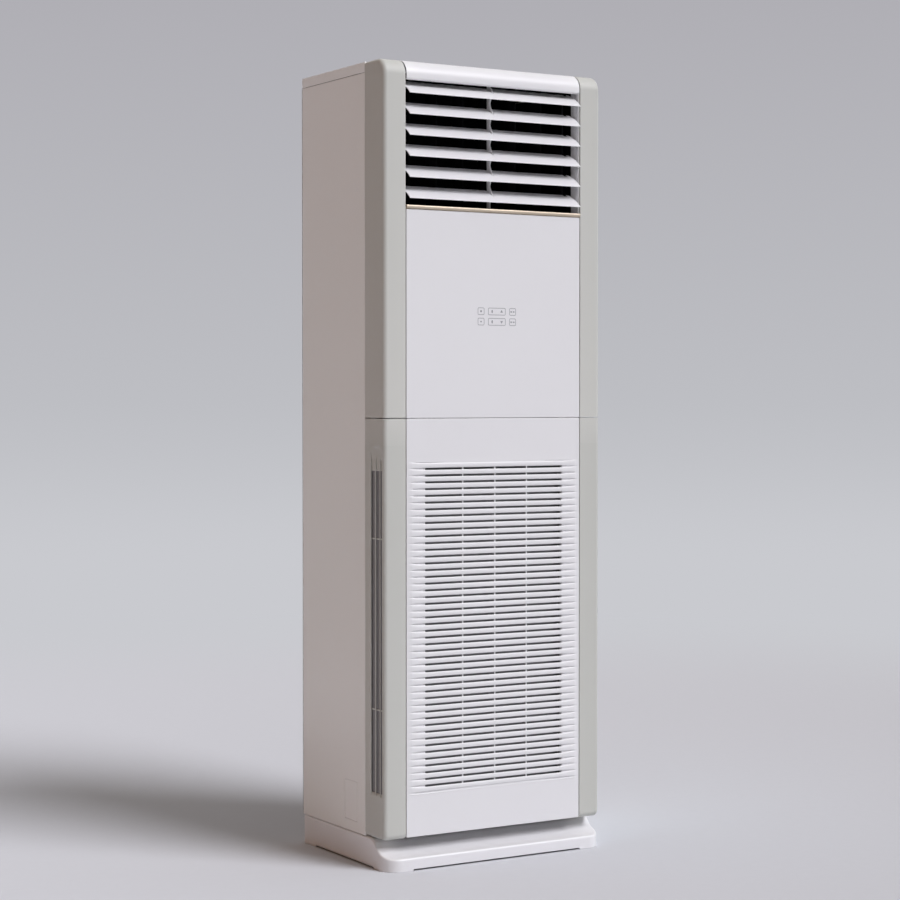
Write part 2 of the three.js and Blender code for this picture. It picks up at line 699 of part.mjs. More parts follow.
// Heights of the grille's slots, from the top down to the last whole one.
function grilleRows() {
  const top = DOOR_TOP - GRILLE_TOP_BORDER - GRILLE_PITCH * 0.8;
  const bottom = DOOR_BOTTOM + GRILLE_BOTTOM_BORDER + GRILLE_PITCH;
  const rows = Math.floor((top - bottom) / GRILLE_PITCH) + 1;
  return Array.from({ length: rows }, (_, i) => top - i * GRILLE_PITCH);
}

// Side outline of one proud rib of the grille.
function ribOutline(z) {
  const half = (GRILLE_PITCH - SLOT_HEIGHT) / 2;
  return [
    [FACE + 1, z - half],
    [FACE, z - half],
    [FACE - RIB_PROUD, z - half * 0.4],
    [FACE - RIB_PROUD, z + half * 0.4],
    [FACE, z + half],
    [FACE + 1, z + half],
  ].reverse();
}

// Lower panel: the grille's slots and ribs, and the two channels that the filter slides in.
function lowerFrontPanel() {
  const rows = grilleRows();
  const edges = [-SLOT_RUN / 2, -SLOT_INNER_RUN / 2, 0, SLOT_INNER_RUN / 2, SLOT_RUN / 2];
  const bridge = SLOT_BRIDGE / 2;
  const columns = edges.slice(1).map((right, i) => {
    return [edges[i] + (i ? bridge : 0), right - (i < edges.length - 2 ? bridge : 0)];
  });
  const half = SLOT_HEIGHT / 2;
  const slots = rows.flatMap((z) =>
    columns.map((x) => block(x, [FACE - PAST, FACE + WALL + PAST], [z - half, z + half])),
  );
  const ribZs = [...rows, rows[rows.length - 1] - GRILLE_PITCH].map((z) => z + GRILLE_PITCH / 2);
  const ribs = ribZs.map((z) => prism(ribOutline(z), "x", [-RIB_RUN / 2, RIB_RUN / 2]));
  const shell = panelShell([DOOR_BOTTOM + 1, DOOR_TOP]);
  return join(cut(join(shell, ...ribs), ...slots), filterChannel(-1), filterChannel(1));
}

// U-shaped channel at one side of the filter, with a foot that the filter rests on.
function filterChannel(side) {
  const inner = FILTER_WIDTH / 2 + GAP;
  const onSide = (low, high) => (side > 0 ? [low, high] : [-high, -low]);
  const z = [FILTER_BOTTOM - GAP - RAIL_WALL, FILTER_TOP];
  const lip = inner - RAIL_LIP;
  return join(
    block(onSide(inner, inner + RAIL_WALL), [FACE + WALL / 2, FILTER_BACK + GAP + RAIL_WALL], z),
    block(onSide(lip, inner + 1), [FILTER_BACK + GAP, FILTER_BACK + GAP + RAIL_WALL], z),
    block(onSide(lip, inner + 1), [FILTER_FRONT - GAP - RAIL_WALL, FILTER_FRONT - GAP], z),
    block(onSide(lip, inner + 1), [FILTER_FRONT - GAP - 1, FILTER_BACK + GAP + 1], [z[0], z[0] + RAIL_WALL]),
  );
}

// Washable filter: a frame with cross bars and the net stretched in it.
function filterFrame() {
  const half = FILTER_WIDTH / 2;
  const y = [FILTER_FRONT, FILTER_BACK];
  const inner = half - FILTER_FRAME;
  const z = [FILTER_BOTTOM, FILTER_TOP];
  const middle = (FILTER_FRONT + FILTER_BACK) / 2;
  const bars = [1, 2, 3].map((i) => {
    const at = z[0] + ((z[1] - z[0]) * i) / 4;
    return block([-inner - 1, inner + 1], [FILTER_FRONT + 1, FILTER_BACK - 1], [at - 3, at + 3]);
  });
  return join(
    cut(
      block([-half, half], y, z),
      block([-inner, inner], [y[0] - PAST, y[1] + PAST], [z[0] + FILTER_FRAME, z[1] - FILTER_FRAME]),
    ),
    block([-inner - 1, inner + 1], [middle - 0.5, middle + 0.5], [z[0] + 2, z[1] - 2]),
    ...bars,
    block([-3, 3], [FILTER_FRONT + 1, FILTER_BACK - 1], [z[0] + 2, z[1] - 2]),
  );
}

// ---------------------------------------------------------------- air outlet

function pivotZ(index) {
  return FIRST_PIVOT - index * LOUVRE_PITCH;
}

function louvreIndexes() {
  return Array.from({ length: LOUVRE_COUNT }, (_, i) => i);
}

// Frame round the louvres: two cheeks with the pivot holes, joined by a rail below and one above.
function outletFrame() {
  const y = [FACE + 5.3, FRAME_BACK];
  const z = [FRAME_BOTTOM, FRAME_TOP];
  const hole = LOUVRE_PIN_RADIUS + RUNNING;
  const pins = louvreIndexes().map((i) =>
    rod("x", [PIVOT_Y, pivotZ(i)], hole, [-CHEEK_OUTER - PAST, CHEEK_OUTER + PAST], 8),
  );
  return cut(
    join(
      block([-CHEEK_OUTER, -CHEEK_INNER], y, z),
      block([CHEEK_INNER, CHEEK_OUTER], y, z),
      block([-CHEEK_OUTER, CHEEK_OUTER], y, [FRAME_BOTTOM, FRAME_BOTTOM + 6]),
      block([-CHEEK_OUTER, CHEEK_OUTER], [FRAME_BACK - 6, FRAME_BACK], [FRAME_TOP - 2.5, FRAME_TOP]),
    ),
    ...pins,
  );
}

// Blade in the middle of the outlet: a column behind the louvres with a round hub at each pivot.
function centrePost() {
  const column = PIVOT_Y + 6;
  const low = FRAME_BOTTOM + 6 + GAP;
  const high = FRAME_TOP - 2.5 - GAP;
  const hubs = louvreIndexes().reverse().flatMap((i) => [
    [column, pivotZ(i) - 9],
    ...arc([PIVOT_Y, pivotZ(i)], POST_HUB, 270, 90, 6),
    [column, pivotZ(i) + 9],
  ]);
  const outline = [[FRAME_BACK - GAP, low], [column, low], ...hubs, [column, high], [FRAME_BACK - GAP, high]];
  const holes = louvreIndexes().map((i) =>
    rod("x", [PIVOT_Y, pivotZ(i)], MIDDLE_PIN_RADIUS + RUNNING, [-5, 5], 8),
  );
  const half = POST_THICKNESS / 2;
  return cut(prism(outline.reverse(), "x", [-half, half]), ...holes);
}

// A louvre's section round its pivot, chord along y: cambered, thick at the front lip.
function louvreOutline() {
  const half = LOUVRE_CHORD / 2;
  const stations = [-1, -0.9, -0.5, 0, 0.5, 1];
  const surface = (side) =>
    stations.map((u) => {
      const camber = LOUVRE_CAMBER * (1 - u * u) - LOUVRE_CAMBER / 2;
      const thick = LOUVRE_THICKNESS * (u < -0.95 ? 0.6 : 1 - 0.25 * (u + 0.9));
      return [half * u, camber + (side * thick) / 2];
    });
  return [...surface(-1), ...surface(1).reverse()];
}

// One louvre with its end pins, its middle pin in a notch for the post, and the crank for the link.
function louvre() {
  const blade = prism(louvreOutline(), "x", [-LOUVRE_HALF, LOUVRE_HALF]);
  const crank = degrees(CRANK_ANGLE);
  const tip = [CRANK_RADIUS * Math.cos(crank), CRANK_RADIUS * Math.sin(crank)];
  const arm = [
    [tip[0] + 2.5, tip[1] - 1],
    [tip[0] + 1.5, tip[1] + 3],
    [18, 0],
    [11, 0],
    [11, -2.5],
    [tip[0] - 2.5, tip[1] - 1.5],
    [tip[0], tip[1] - 2.8],
  ];
  const postNotch = block([-4, 4], [-7, LOUVRE_CHORD], [-20, 20]);
  const linkNotch = block([LINK_X - 6, LINK_X + 6], [19, LOUVRE_CHORD], [-20, 20]);
  return join(
    cut(blade, postNotch, linkNotch),
    rod("x", [0, 0], LOUVRE_PIN_RADIUS, [-CHEEK_OUTER, -LOUVRE_HALF + 3], 8),
    rod("x", [0, 0], LOUVRE_PIN_RADIUS, [LOUVRE_HALF - 3, CHEEK_OUTER], 8),
    rod("x", [0, 0], MIDDLE_PIN_RADIUS, [-6, 6], 8),
    prism(arm, "x", [LINK_X + 2.5, LINK_X + 4.5]),
    rod("x", tip, CRANK_PIN_RADIUS, [LINK_X - 3, LINK_X + 3.5], 8),
  );
}

// Where a louvre's crank pin is at rest, from its pivot, as y and z.
function crankAtRest() {
  const angle = degrees(LOUVRE_TILT + CRANK_ANGLE);
  return [CRANK_RADIUS * Math.cos(angle), CRANK_RADIUS * Math.sin(angle)];
}

// Upright bar that joins all the louvres' crank pins.
function louvreLink() {
  const [dy, dz] = crankAtRest();
  const y = PIVOT_Y + dy;
  const x = [LINK_X - LINK_THICKNESS / 2, LINK_X + LINK_THICKNESS / 2];
  const z = [pivotZ(LOUVRE_COUNT - 1) + dz - LINK_END, pivotZ(0) + dz + LINK_END];
  const holes = louvreIndexes().map((i) =>
    rod("x", [y, pivotZ(i) + dz], CRANK_PIN_RADIUS + RUNNING, [x[0] - PAST, x[1] + PAST], 8),
  );
  return cut(block(x, [y - 2.8, y + 2.8], z), ...holes);
}

// Black sleeve behind the louvres that holds the upright vanes.
function outletDuct() {
  const y = [DUCT_FRONT, DUCT_BACK];
  const z = [FRAME_BOTTOM, DUCT_TOP];
  const inner = CHEEK_OUTER - DUCT_WALL;
  const pins = vaneXs().map((x) =>
    rod("z", [x, VANE_Y], VANE_PIN_RADIUS + RUNNING, [z[0] - PAST, z[1] + PAST], 8),
  );
  return cut(
    block([-CHEEK_OUTER, CHEEK_OUTER], y, z),
    block([-inner, inner], [y[0] - PAST, y[1] + PAST], [z[0] + DUCT_WALL, z[1] - DUCT_WALL]),
    ...pins,
  );
}

function vaneXs() {
  return Array.from({ length: VANE_COUNT }, (_, i) => (i - (VANE_COUNT - 1) / 2) * VANE_PITCH);
}

function vaneLinkZ() {
  return FRAME_BOTTOM + DUCT_WALL + 20;
}

// One upright vane round its own pivot, with the tab and pin that the vane link takes.
function vane() {
  const low = FRAME_BOTTOM + DUCT_WALL + 3;
  const high = DUCT_TOP - DUCT_WALL - 3;
  const half = VANE_THICKNESS / 2;
  const tab = vaneLinkZ() + 2.5;
  return join(
    block([-half, half], [-VANE_CHORD / 2, VANE_CHORD / 2], [low, high]),
    rod("z", [0, 0], VANE_PIN_RADIUS, [FRAME_BOTTOM, low + 5], 8),
    rod("z", [0, 0], VANE_PIN_RADIUS, [high - 5, DUCT_TOP], 8),
    block([-2, 2], [VANE_CHORD / 2 - 2, VANE_CRANK + 2], [tab, tab + 2]),
    rod("z", [0, VANE_CRANK], VANE_LINK_PIN_RADIUS, [vaneLinkZ() - 2.5, tab + 1], 8),
  );
}

function vaneLink() {
  const xs = vaneXs();
  const z = [vaneLinkZ() - 2, vaneLinkZ() + 2];
  const y = VANE_Y + VANE_CRANK;
  const hole = VANE_LINK_PIN_RADIUS + RUNNING;
  const holes = xs.map((x) => rod("z", [x, y], hole, [z[0] - PAST, z[1] + PAST], 8));
  return cut(block([xs[0] - 7, xs[VANE_COUNT - 1] + 7], [y - 3, y + 3], z), ...holes);
}

// Stepper motor outside the right cheek, on the third louvre's pin.
function louvreMotor() {
  const centre = [PIVOT_Y, pivotZ(2)];
  const x = CHEEK_OUTER + GAP;
  return join(
    rod("x", centre, LOUVRE_MOTOR_RADIUS, [x, x + 18], 16),
    block([x, x + 1.5], [centre[0] - 4, centre[0] + 4], [centre[1] - 17, centre[1] + 17]),
  );
}

// Stepper motor on the duct's roof, on the last vane's pin.
function vaneMotor() {
  const x = vaneXs()[VANE_COUNT - 1];
  const z = DUCT_TOP + GAP;
  return join(
    rod("z", [x, VANE_Y], VANE_MOTOR_RADIUS, [z, HEIGHT - SHEET - 5], 16),
    block([x - 22, x + 22], [VANE_Y - 5, VANE_Y + 5], [z, z + 1.5]),
  );
}

// ---------------------------------------------------------------- upper room

// Foam board behind the upper panel that closes the air way. It is fixed to the side flanges.
function frontBaffle() {
  const half = HALF - FRONT_FLANGE + 7;
  return block([-half, half], [BAFFLE_FRONT, BAFFLE_BACK], [UPPER_BOTTOM, FRAME_BOTTOM - GAP]);
}

function controlZ() {
  const low = UPPER_BOTTOM + 45;
  return [low, low + BOX_HEIGHT];
}

// Sheet steel box on the baffle, open to the front under its cover.
function controlBox() {
  const half = BOX_WIDTH / 2;
  const y = [BAFFLE_FRONT - GAP - BOX_DEPTH, BAFFLE_FRONT - GAP];
  const z = controlZ();
  return cut(
    block([-half, half], y, z),
    block(
      [-half + SHEET, half - SHEET],
      [y[0] - PAST, y[1] - SHEET],
      [z[0] + SHEET, z[1] - SHEET],
    ),
  );
}

function controlBoxCover() {
  const half = BOX_WIDTH / 2;
  const back = BAFFLE_FRONT - GAP * 2 - BOX_DEPTH;
  const z = controlZ();
  return block([-half, half], [back - SHEET, back], z);
}

// Main circuit board on the box's back, with its large components joined to it.
function mainBoard() {
  const back = BAFFLE_FRONT - GAP * 2 - SHEET;
  const [low, high] = controlZ();
  const half = BOX_WIDTH / 2 - 25;
  const y = [back - BOARD - 6, back - 6];
  const feet = [-half + 6, half - 6].map((x) => rod("y", [x, (low + high) / 2], 3, [y[0] + 0.5, back], 8));
  const front = (height) => [y[0] - height, y[0] + 0.5];
  return join(
    block([-half, half], y, [low + 20, high - 20]),
    ...feet,
    block([-half + 12, -half + 62], front(24), [low + 60, low + 100]),
    rod("y", [20, high - 60], 12, front(25), 10),
    rod("y", [52, high - 60], 12, front(25), 10),
    block([half - 90, half - 15], front(14), [low + 30, low + 52]),
  );
}

// Where the coil's lower and upper ends are, as y and z, and its length between them.
function coilLine() {
  const lean = degrees(COIL_LEAN);
  const low = new THREE.Vector2((PAN_FRONT + PAN_BACK) / 2 + 2, DECK_TOP + GAP + 22);
  const rise = FRAME_BOTTOM - 15 - low.y;
  const depth = INSIDE_REAR - 20 - COIL_THICKNESS / 2 / Math.cos(lean) - low.x;
  const length = Math.min(rise / Math.cos(lean), depth / Math.sin(lean));
  return { low, lean, length };
}

// The coil's parts are made upright round its lower end and then leaned back. The fins are one
// comb-shaped plan carried up the coil's length.
function coilFins() {
  const { length } = coilLine();
  const half = COIL_WIDTH / 2;
  const pitch = (COIL_WIDTH - FIN_THICKNESS) / (FIN_COUNT - 1);
  const tip = COIL_THICKNESS / 2;
  const root = FIN_WEB / 2;
  const front = Array.from({ length: FIN_COUNT }, (_, i) => {
    const x = -half + i * pitch;
    const fin = [[x, -tip], [x + FIN_THICKNESS, -tip]];
    const gap = [[x + FIN_THICKNESS, -root], [x + pitch, -root]];
    return i < FIN_COUNT - 1 ? [...fin, ...gap] : fin;
  }).flat();
  const back = front.map(([x, y]) => [x, -y]).reverse();
  return prism([...front, ...back], "z", [0, length]);
}

// End plate of the coil with the return bends brazed to its tubes and a foot at each side flange.
function coilEndPlate() {
  const { length } = coilLine();
  const inner = COIL_WIDTH / 2 + GAP;
  const outer = inner + COIL_PLATE;
  const parts = [block([-outer, -inner], [-COIL_THICKNESS / 2 - 2, COIL_THICKNESS / 2 + 2], [0, length])];
  const pitch = (length - 40) / BEND_COUNT;
  for (let i = 0; i < BEND_COUNT; i += 1) {
    const z = 20 + (i + 0.5) * pitch;
    const y = i % 2 ? 12 : -12;
    const loop = arc([0, 0], BEND_RADIUS, 90, 270, 3).map(([a, b]) => [-outer - 2 + a, y, z + b]);
    const root = -outer + 1;
    const path = [[root, y, z + BEND_RADIUS], ...loop, [root, y, z - BEND_RADIUS]];
    parts.push(pipe(path, TUBE_RADIUS, 6, 5));
  }
  const reach = INSIDE;
  const high = length - 20;
  parts.push(block([-reach, -inner], [-10, 10], [high, high + COIL_PLATE]));
  parts.push(block([-reach, -reach + COIL_PLATE], [-10, 10], [high - 16, high + COIL_PLATE]));
  return join(...parts);
}

// Foam-lined trough under the coil, on the deck.
function drainPan() {
  const x = COIL_WIDTH / 2 + PAN_OVERHANG;
  const z = [DECK_TOP + GAP, DECK_TOP + GAP + PAN_HEIGHT];
  return cut(
    block([-x, x], [PAN_FRONT, PAN_BACK], z),
    block([-x + 4, x - 4], [PAN_FRONT + 4, PAN_BACK - 4], [z[0] + 4, z[1] + PAST]),
  );
}

function hoseCentre() {
  return [COIL_WIDTH / 2 + PAN_OVERHANG - DRAIN_HOSE_RADIUS, PAN_FRONT + 14];
}

// Drain hose from the pan's spigot down to the tray.
function drainHose() {
  const [x, y] = hoseCentre();
  const bottom = CABINET_BOTTOM + 90;
  return cut(
    rod("z", [x, y], DRAIN_HOSE_RADIUS, [bottom, DECK_TOP], 12),
    rod("z", [x, y], DRAIN_HOSE_RADIUS - 2, [bottom - PAST, DECK_TOP - 3], 12),
  );
}

// Where the two refrigerant lines run, as x and y, beside the coil's left end.
function gasLine() {
  return [-INSIDE + 14, coilLine().low.x - 8];
}

function liquidLine() {
  return [-INSIDE + 12, coilLine().low.x + 18];
}

// Copper line from the coil's end plate down to its union nut beside the pipe knock-out. It meets
// the end plate the given height above the coil's lower end.
function linePipe([x, y], radius, rise) {
  const top = coilLine().low.y + rise;
  const entry = -COIL_WIDTH / 2 - COIL_PLATE - GAP * 2;
  const nut = CABINET_BOTTOM + KNOCKOUT_HEIGHT + 16;
  const round = 14;
  const elbow = arc([x + round, top - round], round, 90, 180, 3).map(([a, b]) => [a, y, b]);
  const path = [[entry, y, top], ...elbow, [x, y, top - round - 4]];
  return join(
    pipe(path, radius, 8, 8),
    rod("z", [x, y], radius, [nut, top - round - 2], 8),
    rod("z", [x, y], radius * 1.7, [nut - 22, nut + 3], 6),
  );
}

// ---------------------------------------------------------------- blower

// Scroll outline in x-z: a spiral that opens anticlockwise into an upright neck. The neck's top
// ends at the given height, and the inset draws the whole outline inwards.
function scrollOutline(inset, top) {
  const tongue = 60;
  const steps = 30;
  const spiral = Array.from({ length: steps + 1 }, (_, i) => {
    const angle = tongue + ((360 - tongue) * i) / steps;
    const radius = SCROLL_START + (SCROLL_GROWTH * i) / steps - inset;
    const a = degrees(angle);
    return [BLOWER_AXIS_X + radius * Math.cos(a), BLOWER_AXIS_Z + radius * Math.sin(a)];
  });
  return [...spiral, [NECK_OUTER - inset, top], [NECK_INNER + inset, top]];
}

function scrollCasing() {
  const top = DECK_BOTTOM - GAP;
  const y = [SCROLL_FRONT, SCROLL_BACK];
  const centre = [BLOWER_AXIS_X, BLOWER_AXIS_Z];
  return cut(
    prism(scrollOutline(0, top), "y", y),
    prism(scrollOutline(SCROLL_WALL, top + PAST), "y", [y[0] + SCROLL_WALL, y[1] - SCROLL_WALL]),
    rod("y", centre, INLET_RADIUS + 3, [y[0] - PAST, y[0] + SCROLL_WALL + PAST], 32),
    rod("y", centre, SHAFT_RADIUS + 6, [y[1] - SCROLL_WALL - PAST, y[1] + PAST], 16),
  );
}

// A ring turned round the blower's axis from a closed [radius, y] profile.
function turned(profile, segments) {
  const points = [...profile, profile[0]].map(([r, y]) => new THREE.Vector2(r, y));
  const ring = new THREE.LatheGeometry(points, segments);
  ring.translate(BLOWER_AXIS_X, 0, BLOWER_AXIS_Z);
  return solid(ring);
}

// Bell-mouthed inlet ring that is screwed to the front of the partition and reaches into the wheel.
function inletRing() {
  const face = PARTITION_Y - GAP;
  const lip = INLET_RADIUS - 14;
  return turned(
    [
      [INLET_RADIUS + 14, face - 2],
      [INLET_RADIUS + 14, face],
      [INLET_RADIUS, face],
      [INLET_RADIUS - 6, face + 8],
      [lip + 2, face + 20],
      [lip, face + 20],
      [INLET_RADIUS - 8, face + 6],
      [INLET_RADIUS - 4, face - 2],
    ],
    24,
  );
}

function wheelRange() {
  const front = SCROLL_FRONT + SCROLL_WALL + 20;
  return [front, front + WHEEL_WIDTH];
}

// Wheel with forward-curved blades between a front ring and a back disc with its hub.
function fanWheel() {
  const [front, back] = wheelRange();
  const rim = WHEEL_RADIUS;
  const bore = SHAFT_RADIUS + GAP;
  const ring = turned([[rim - 30, front], [rim, front], [rim, front + 3], [rim - 30, front + 3]], 24);
  const disc = turned(
    [
      [bore, back - 30],
      [bore + 12, back - 30],
      [bore + 12, back - 3],
      [rim, back - 3],
      [rim, back],
      [bore, back],
    ],
    24,
  );
  const blades = Array.from({ length: WHEEL_BLADES }, (_, i) => {
    const angle = (360 * i) / WHEEL_BLADES;
    return bladeAt(angle, front + 1, back - 1);
  });
  return join(ring, disc, ...blades);
}

// One blade: a thin curved strip that leans forward from its inner to its outer edge.
function bladeAt(angle, front, back) {
  const at = (radius, turn) => {
    const a = degrees(angle + turn);
    return [BLOWER_AXIS_X + radius * Math.cos(a), BLOWER_AXIS_Z + radius * Math.sin(a)];
  };
  const [inner, middle, outer] = [WHEEL_RADIUS - 27, WHEEL_RADIUS - 15, WHEEL_RADIUS - 1.5];
  const leading = [at(inner, 0), at(middle, 1.2), at(outer, 4)];
  const outline = [...leading, at(outer, 4.7), at(middle, 1.9), at(inner, 0.8)];
  return prism(outline, "y", [front, back]);
}

function fanShaft() {
  const y = [wheelRange()[1] - 34, SCROLL_BACK + 24];
  return rod("y", [BLOWER_AXIS_X, BLOWER_AXIS_Z], SHAFT_RADIUS, y, 16);
}

// Cross-shaped steel bracket between the casing's back and the motor.
function motorBracket() {
  const y = [SCROLL_BACK + GAP, SCROLL_BACK + GAP + 2];
  const centre = [BLOWER_AXIS_X, BLOWER_AXIS_Z];
  const arm = 18;
  const reach = MOTOR_RADIUS + 35;
  const across = (x, z) => block([centre[0] - x, centre[0] + x], y, [centre[1] - z, centre[1] + z]);
  const bore = rod("y", centre, SHAFT_RADIUS + 6, [y[0] - PAST, y[1] + PAST], 16);
  return cut(join(across(arm, reach), across(reach, arm)), bore);
}

function fanMotor() {
  const front = SCROLL_BACK + GAP * 2 + 2;
  const centre = [BLOWER_AXIS_X, BLOWER_AXIS_Z];
  const back = Math.min(front + MOTOR_LENGTH, INSIDE_REAR - 2);
  return cut(
    join(
      rod("y", centre, MOTOR_RADIUS, [front + 4, back], 24),
      rod("y", centre, MOTOR_RADIUS - 20, [front, front + 5], 24),
    ),
    rod("y", centre, SHAFT_RADIUS + RUNNING, [front - PAST, SCROLL_BACK + 26], 16),
  );
}

// ---------------------------------------------------------------- assembly

function meshOf(name, shape, material) {
  const data = shape.getMesh();
  const geometry = new THREE.BufferGeometry();
  geometry.setAttribute("position", new THREE.BufferAttribute(data.vertProperties, 3));
  geometry.setIndex(new THREE.BufferAttribute(data.triVerts, 1));
  geometry.computeVertexNormals();
  const mesh = new THREE.Mesh(geometry, material.clone());
  mesh.name = name;
  return mesh;
}

// A left piece and its mirror image on the right.
function pair(parent, name, shape, material) {
  const right = new THREE.Group();
  right.scale.x = -1;
  right.add(meshOf(name + "_right", shape, material));
  parent.add(meshOf(name + "_left", shape, material), right);
}

function cabinet() {
  const group = new THREE.Group();
  const add = (name, shape, material) => group.add(meshOf(name, shape, material));
  add("base_plinth", basePlinth(), whitePaint);
  add("base_tray", baseTray(), galvanised);
  pair(group, "side_panel", sidePanel(), whitePaint);
  add("rear_panel", rearPanel(), galvanised);
  add("cable_grommet", cableGrommet(), rubber);
  add("top_cover", topCover(), whitePaint);
  add("fan_deck", fanDeck(), galvanised);
  add("blower_partition", blowerPartition(), galvanised);
  pair(group, "pillar_upper", upperPillar(), greyPlastic);
  pair(group, "door_hinge", doorHinge(), galvanised);
  pair(group, "door_catch", doorCatch(), whitePlastic);
  add("top_bar", topBar(), whitePlastic);
  add("trim_strip", trimStrip(), gold);
  add("upper_front_panel", upperFrontPanel(), whitePlastic);
  add("display_board", displayBoard(), circuitGreen);
  add("outlet_frame", outletFrame(), greyPlastic);
  add("louvre_centre_post", centrePost(), greyPlastic);
  add("outlet_duct", outletDuct(), blackPlastic);
  add("louvre_motor", louvreMotor(), galvanised);
  add("vane_motor", vaneMotor(), galvanised);
  return group;
}

function innerParts() {
  const group = new THREE.Group();
  const add = (name, shape, material) => group.add(meshOf(name, shape, material));
  add("front_baffle", frontBaffle(), foam);
  add("control_box", controlBox(), galvanised);
  add("control_box_cover", controlBoxCover(), galvanised);
  add("main_board", mainBoard(), circuitGreen);
  add("drain_pan", drainPan(), foam);
  add("drain_hose", drainHose(), greyPlastic);
  add("gas_pipe", linePipe(gasLine(), GAS_PIPE_RADIUS, 16), copper);
  add("liquid_pipe", linePipe(liquidLine(), LIQUID_PIPE_RADIUS, 8), copper);
  add("scroll_casing", scrollCasing(), galvanised);
  add("inlet_ring", inletRing(), galvanised);
  add("motor_bracket", motorBracket(), galvanised);
  add("fan_motor", fanMotor(), galvanised);
  return group;
}

// The coil leans back round its lower end.
function coil() {
  const { low, lean } = coilLine();
  const group = new THREE.Group();
  group.add(meshOf("evaporator_fins", coilFins(), aluminium));
  pair(group, "coil_end_plate", coilEndPlate(), copper);
  group.position.set(0, low.x, low.y);
  group.rotation.x = -lean;
  return group;
}

function door() {
  const group = new THREE.Group();
  group.add(meshOf("lower_front_panel", lowerFrontPanel(), whitePlastic));
  pair(group, "pillar_lower", lowerPillar(), greyPlastic);
  group.add(meshOf("filter_frame", filterFrame(), netting));
  return group;
}

function louvres() {
  const group = new THREE.Group();
  const shape = louvre();
  for (const i of louvreIndexes()) {
    const blade = meshOf("louvre_" + (i + 1), shape, whitePlastic);
    blade.position.set(0, PIVOT_Y, pivotZ(i));
    blade.rotation.x = degrees(LOUVRE_TILT);
    group.add(blade);
  }
  group.add(meshOf("louvre_link", louvreLink(), greyPlastic));
  return group;
}

function vanes() {
  const group = new THREE.Group();
  const shape = vane();
  vaneXs().forEach((x, i) => {
    const blade = meshOf("vane_" + (i + 1), shape, blackPlastic);
    blade.position.set(x, VANE_Y, 0);
    group.add(blade);
  });
  group.add(meshOf("vane_link", vaneLink(), blackPlastic));
  return group;
}

function fan() {
  const group = new THREE.Group();
  group.add(meshOf("fan_wheel", fanWheel(), blackPlastic), meshOf("fan_shaft", fanShaft(), galvanised));
  return group;
}

const unit = new THREE.Group();
unit.add(cabinet(), innerParts(), coil(), door(), louvres(), vanes(), fan());
export default unit;
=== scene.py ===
"""Floor standing air conditioner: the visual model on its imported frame, in a plain studio."""

import json
import math

import bmesh
import bpy
import numpy as np
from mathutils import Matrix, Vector


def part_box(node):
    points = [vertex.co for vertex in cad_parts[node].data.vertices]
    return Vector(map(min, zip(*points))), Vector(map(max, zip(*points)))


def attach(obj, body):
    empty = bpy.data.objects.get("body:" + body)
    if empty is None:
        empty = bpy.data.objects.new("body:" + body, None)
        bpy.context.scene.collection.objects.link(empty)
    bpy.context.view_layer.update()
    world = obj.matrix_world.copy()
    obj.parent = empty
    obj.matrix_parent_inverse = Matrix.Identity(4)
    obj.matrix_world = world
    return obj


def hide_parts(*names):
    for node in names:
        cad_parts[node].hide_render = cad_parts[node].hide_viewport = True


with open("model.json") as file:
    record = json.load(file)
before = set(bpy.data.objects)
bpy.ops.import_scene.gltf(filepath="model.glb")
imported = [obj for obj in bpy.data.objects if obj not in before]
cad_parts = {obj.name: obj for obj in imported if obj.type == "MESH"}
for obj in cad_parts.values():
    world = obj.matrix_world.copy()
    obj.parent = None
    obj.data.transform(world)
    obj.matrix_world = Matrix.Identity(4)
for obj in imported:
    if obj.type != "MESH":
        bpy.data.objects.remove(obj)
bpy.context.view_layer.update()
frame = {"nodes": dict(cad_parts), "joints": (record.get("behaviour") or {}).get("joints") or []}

# ------------------------------------------------------------------ plinth
# Hollow plinth moulded in white ABS, with an S-shaped slope down to a low toe in front. It stands
# on its four corners: the rim between them is raised, so a dark line shows above the floor.

PLINTH_CORNER = 40
PLINTH_EDGE = 5
TOE_HEIGHT = 30
SLOPE_RUN = 85
PAD_LENGTH = 67
PAD_LIFT = 4
PAD_STEP = 1.5
PLINTH_REAR_CORNER = 6
PLINTH_WALL = 3


def span(node):
    """A CAD node's lowest and highest corners, in millimetres."""
    return [np.array(corner) * 1000 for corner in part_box(node)]


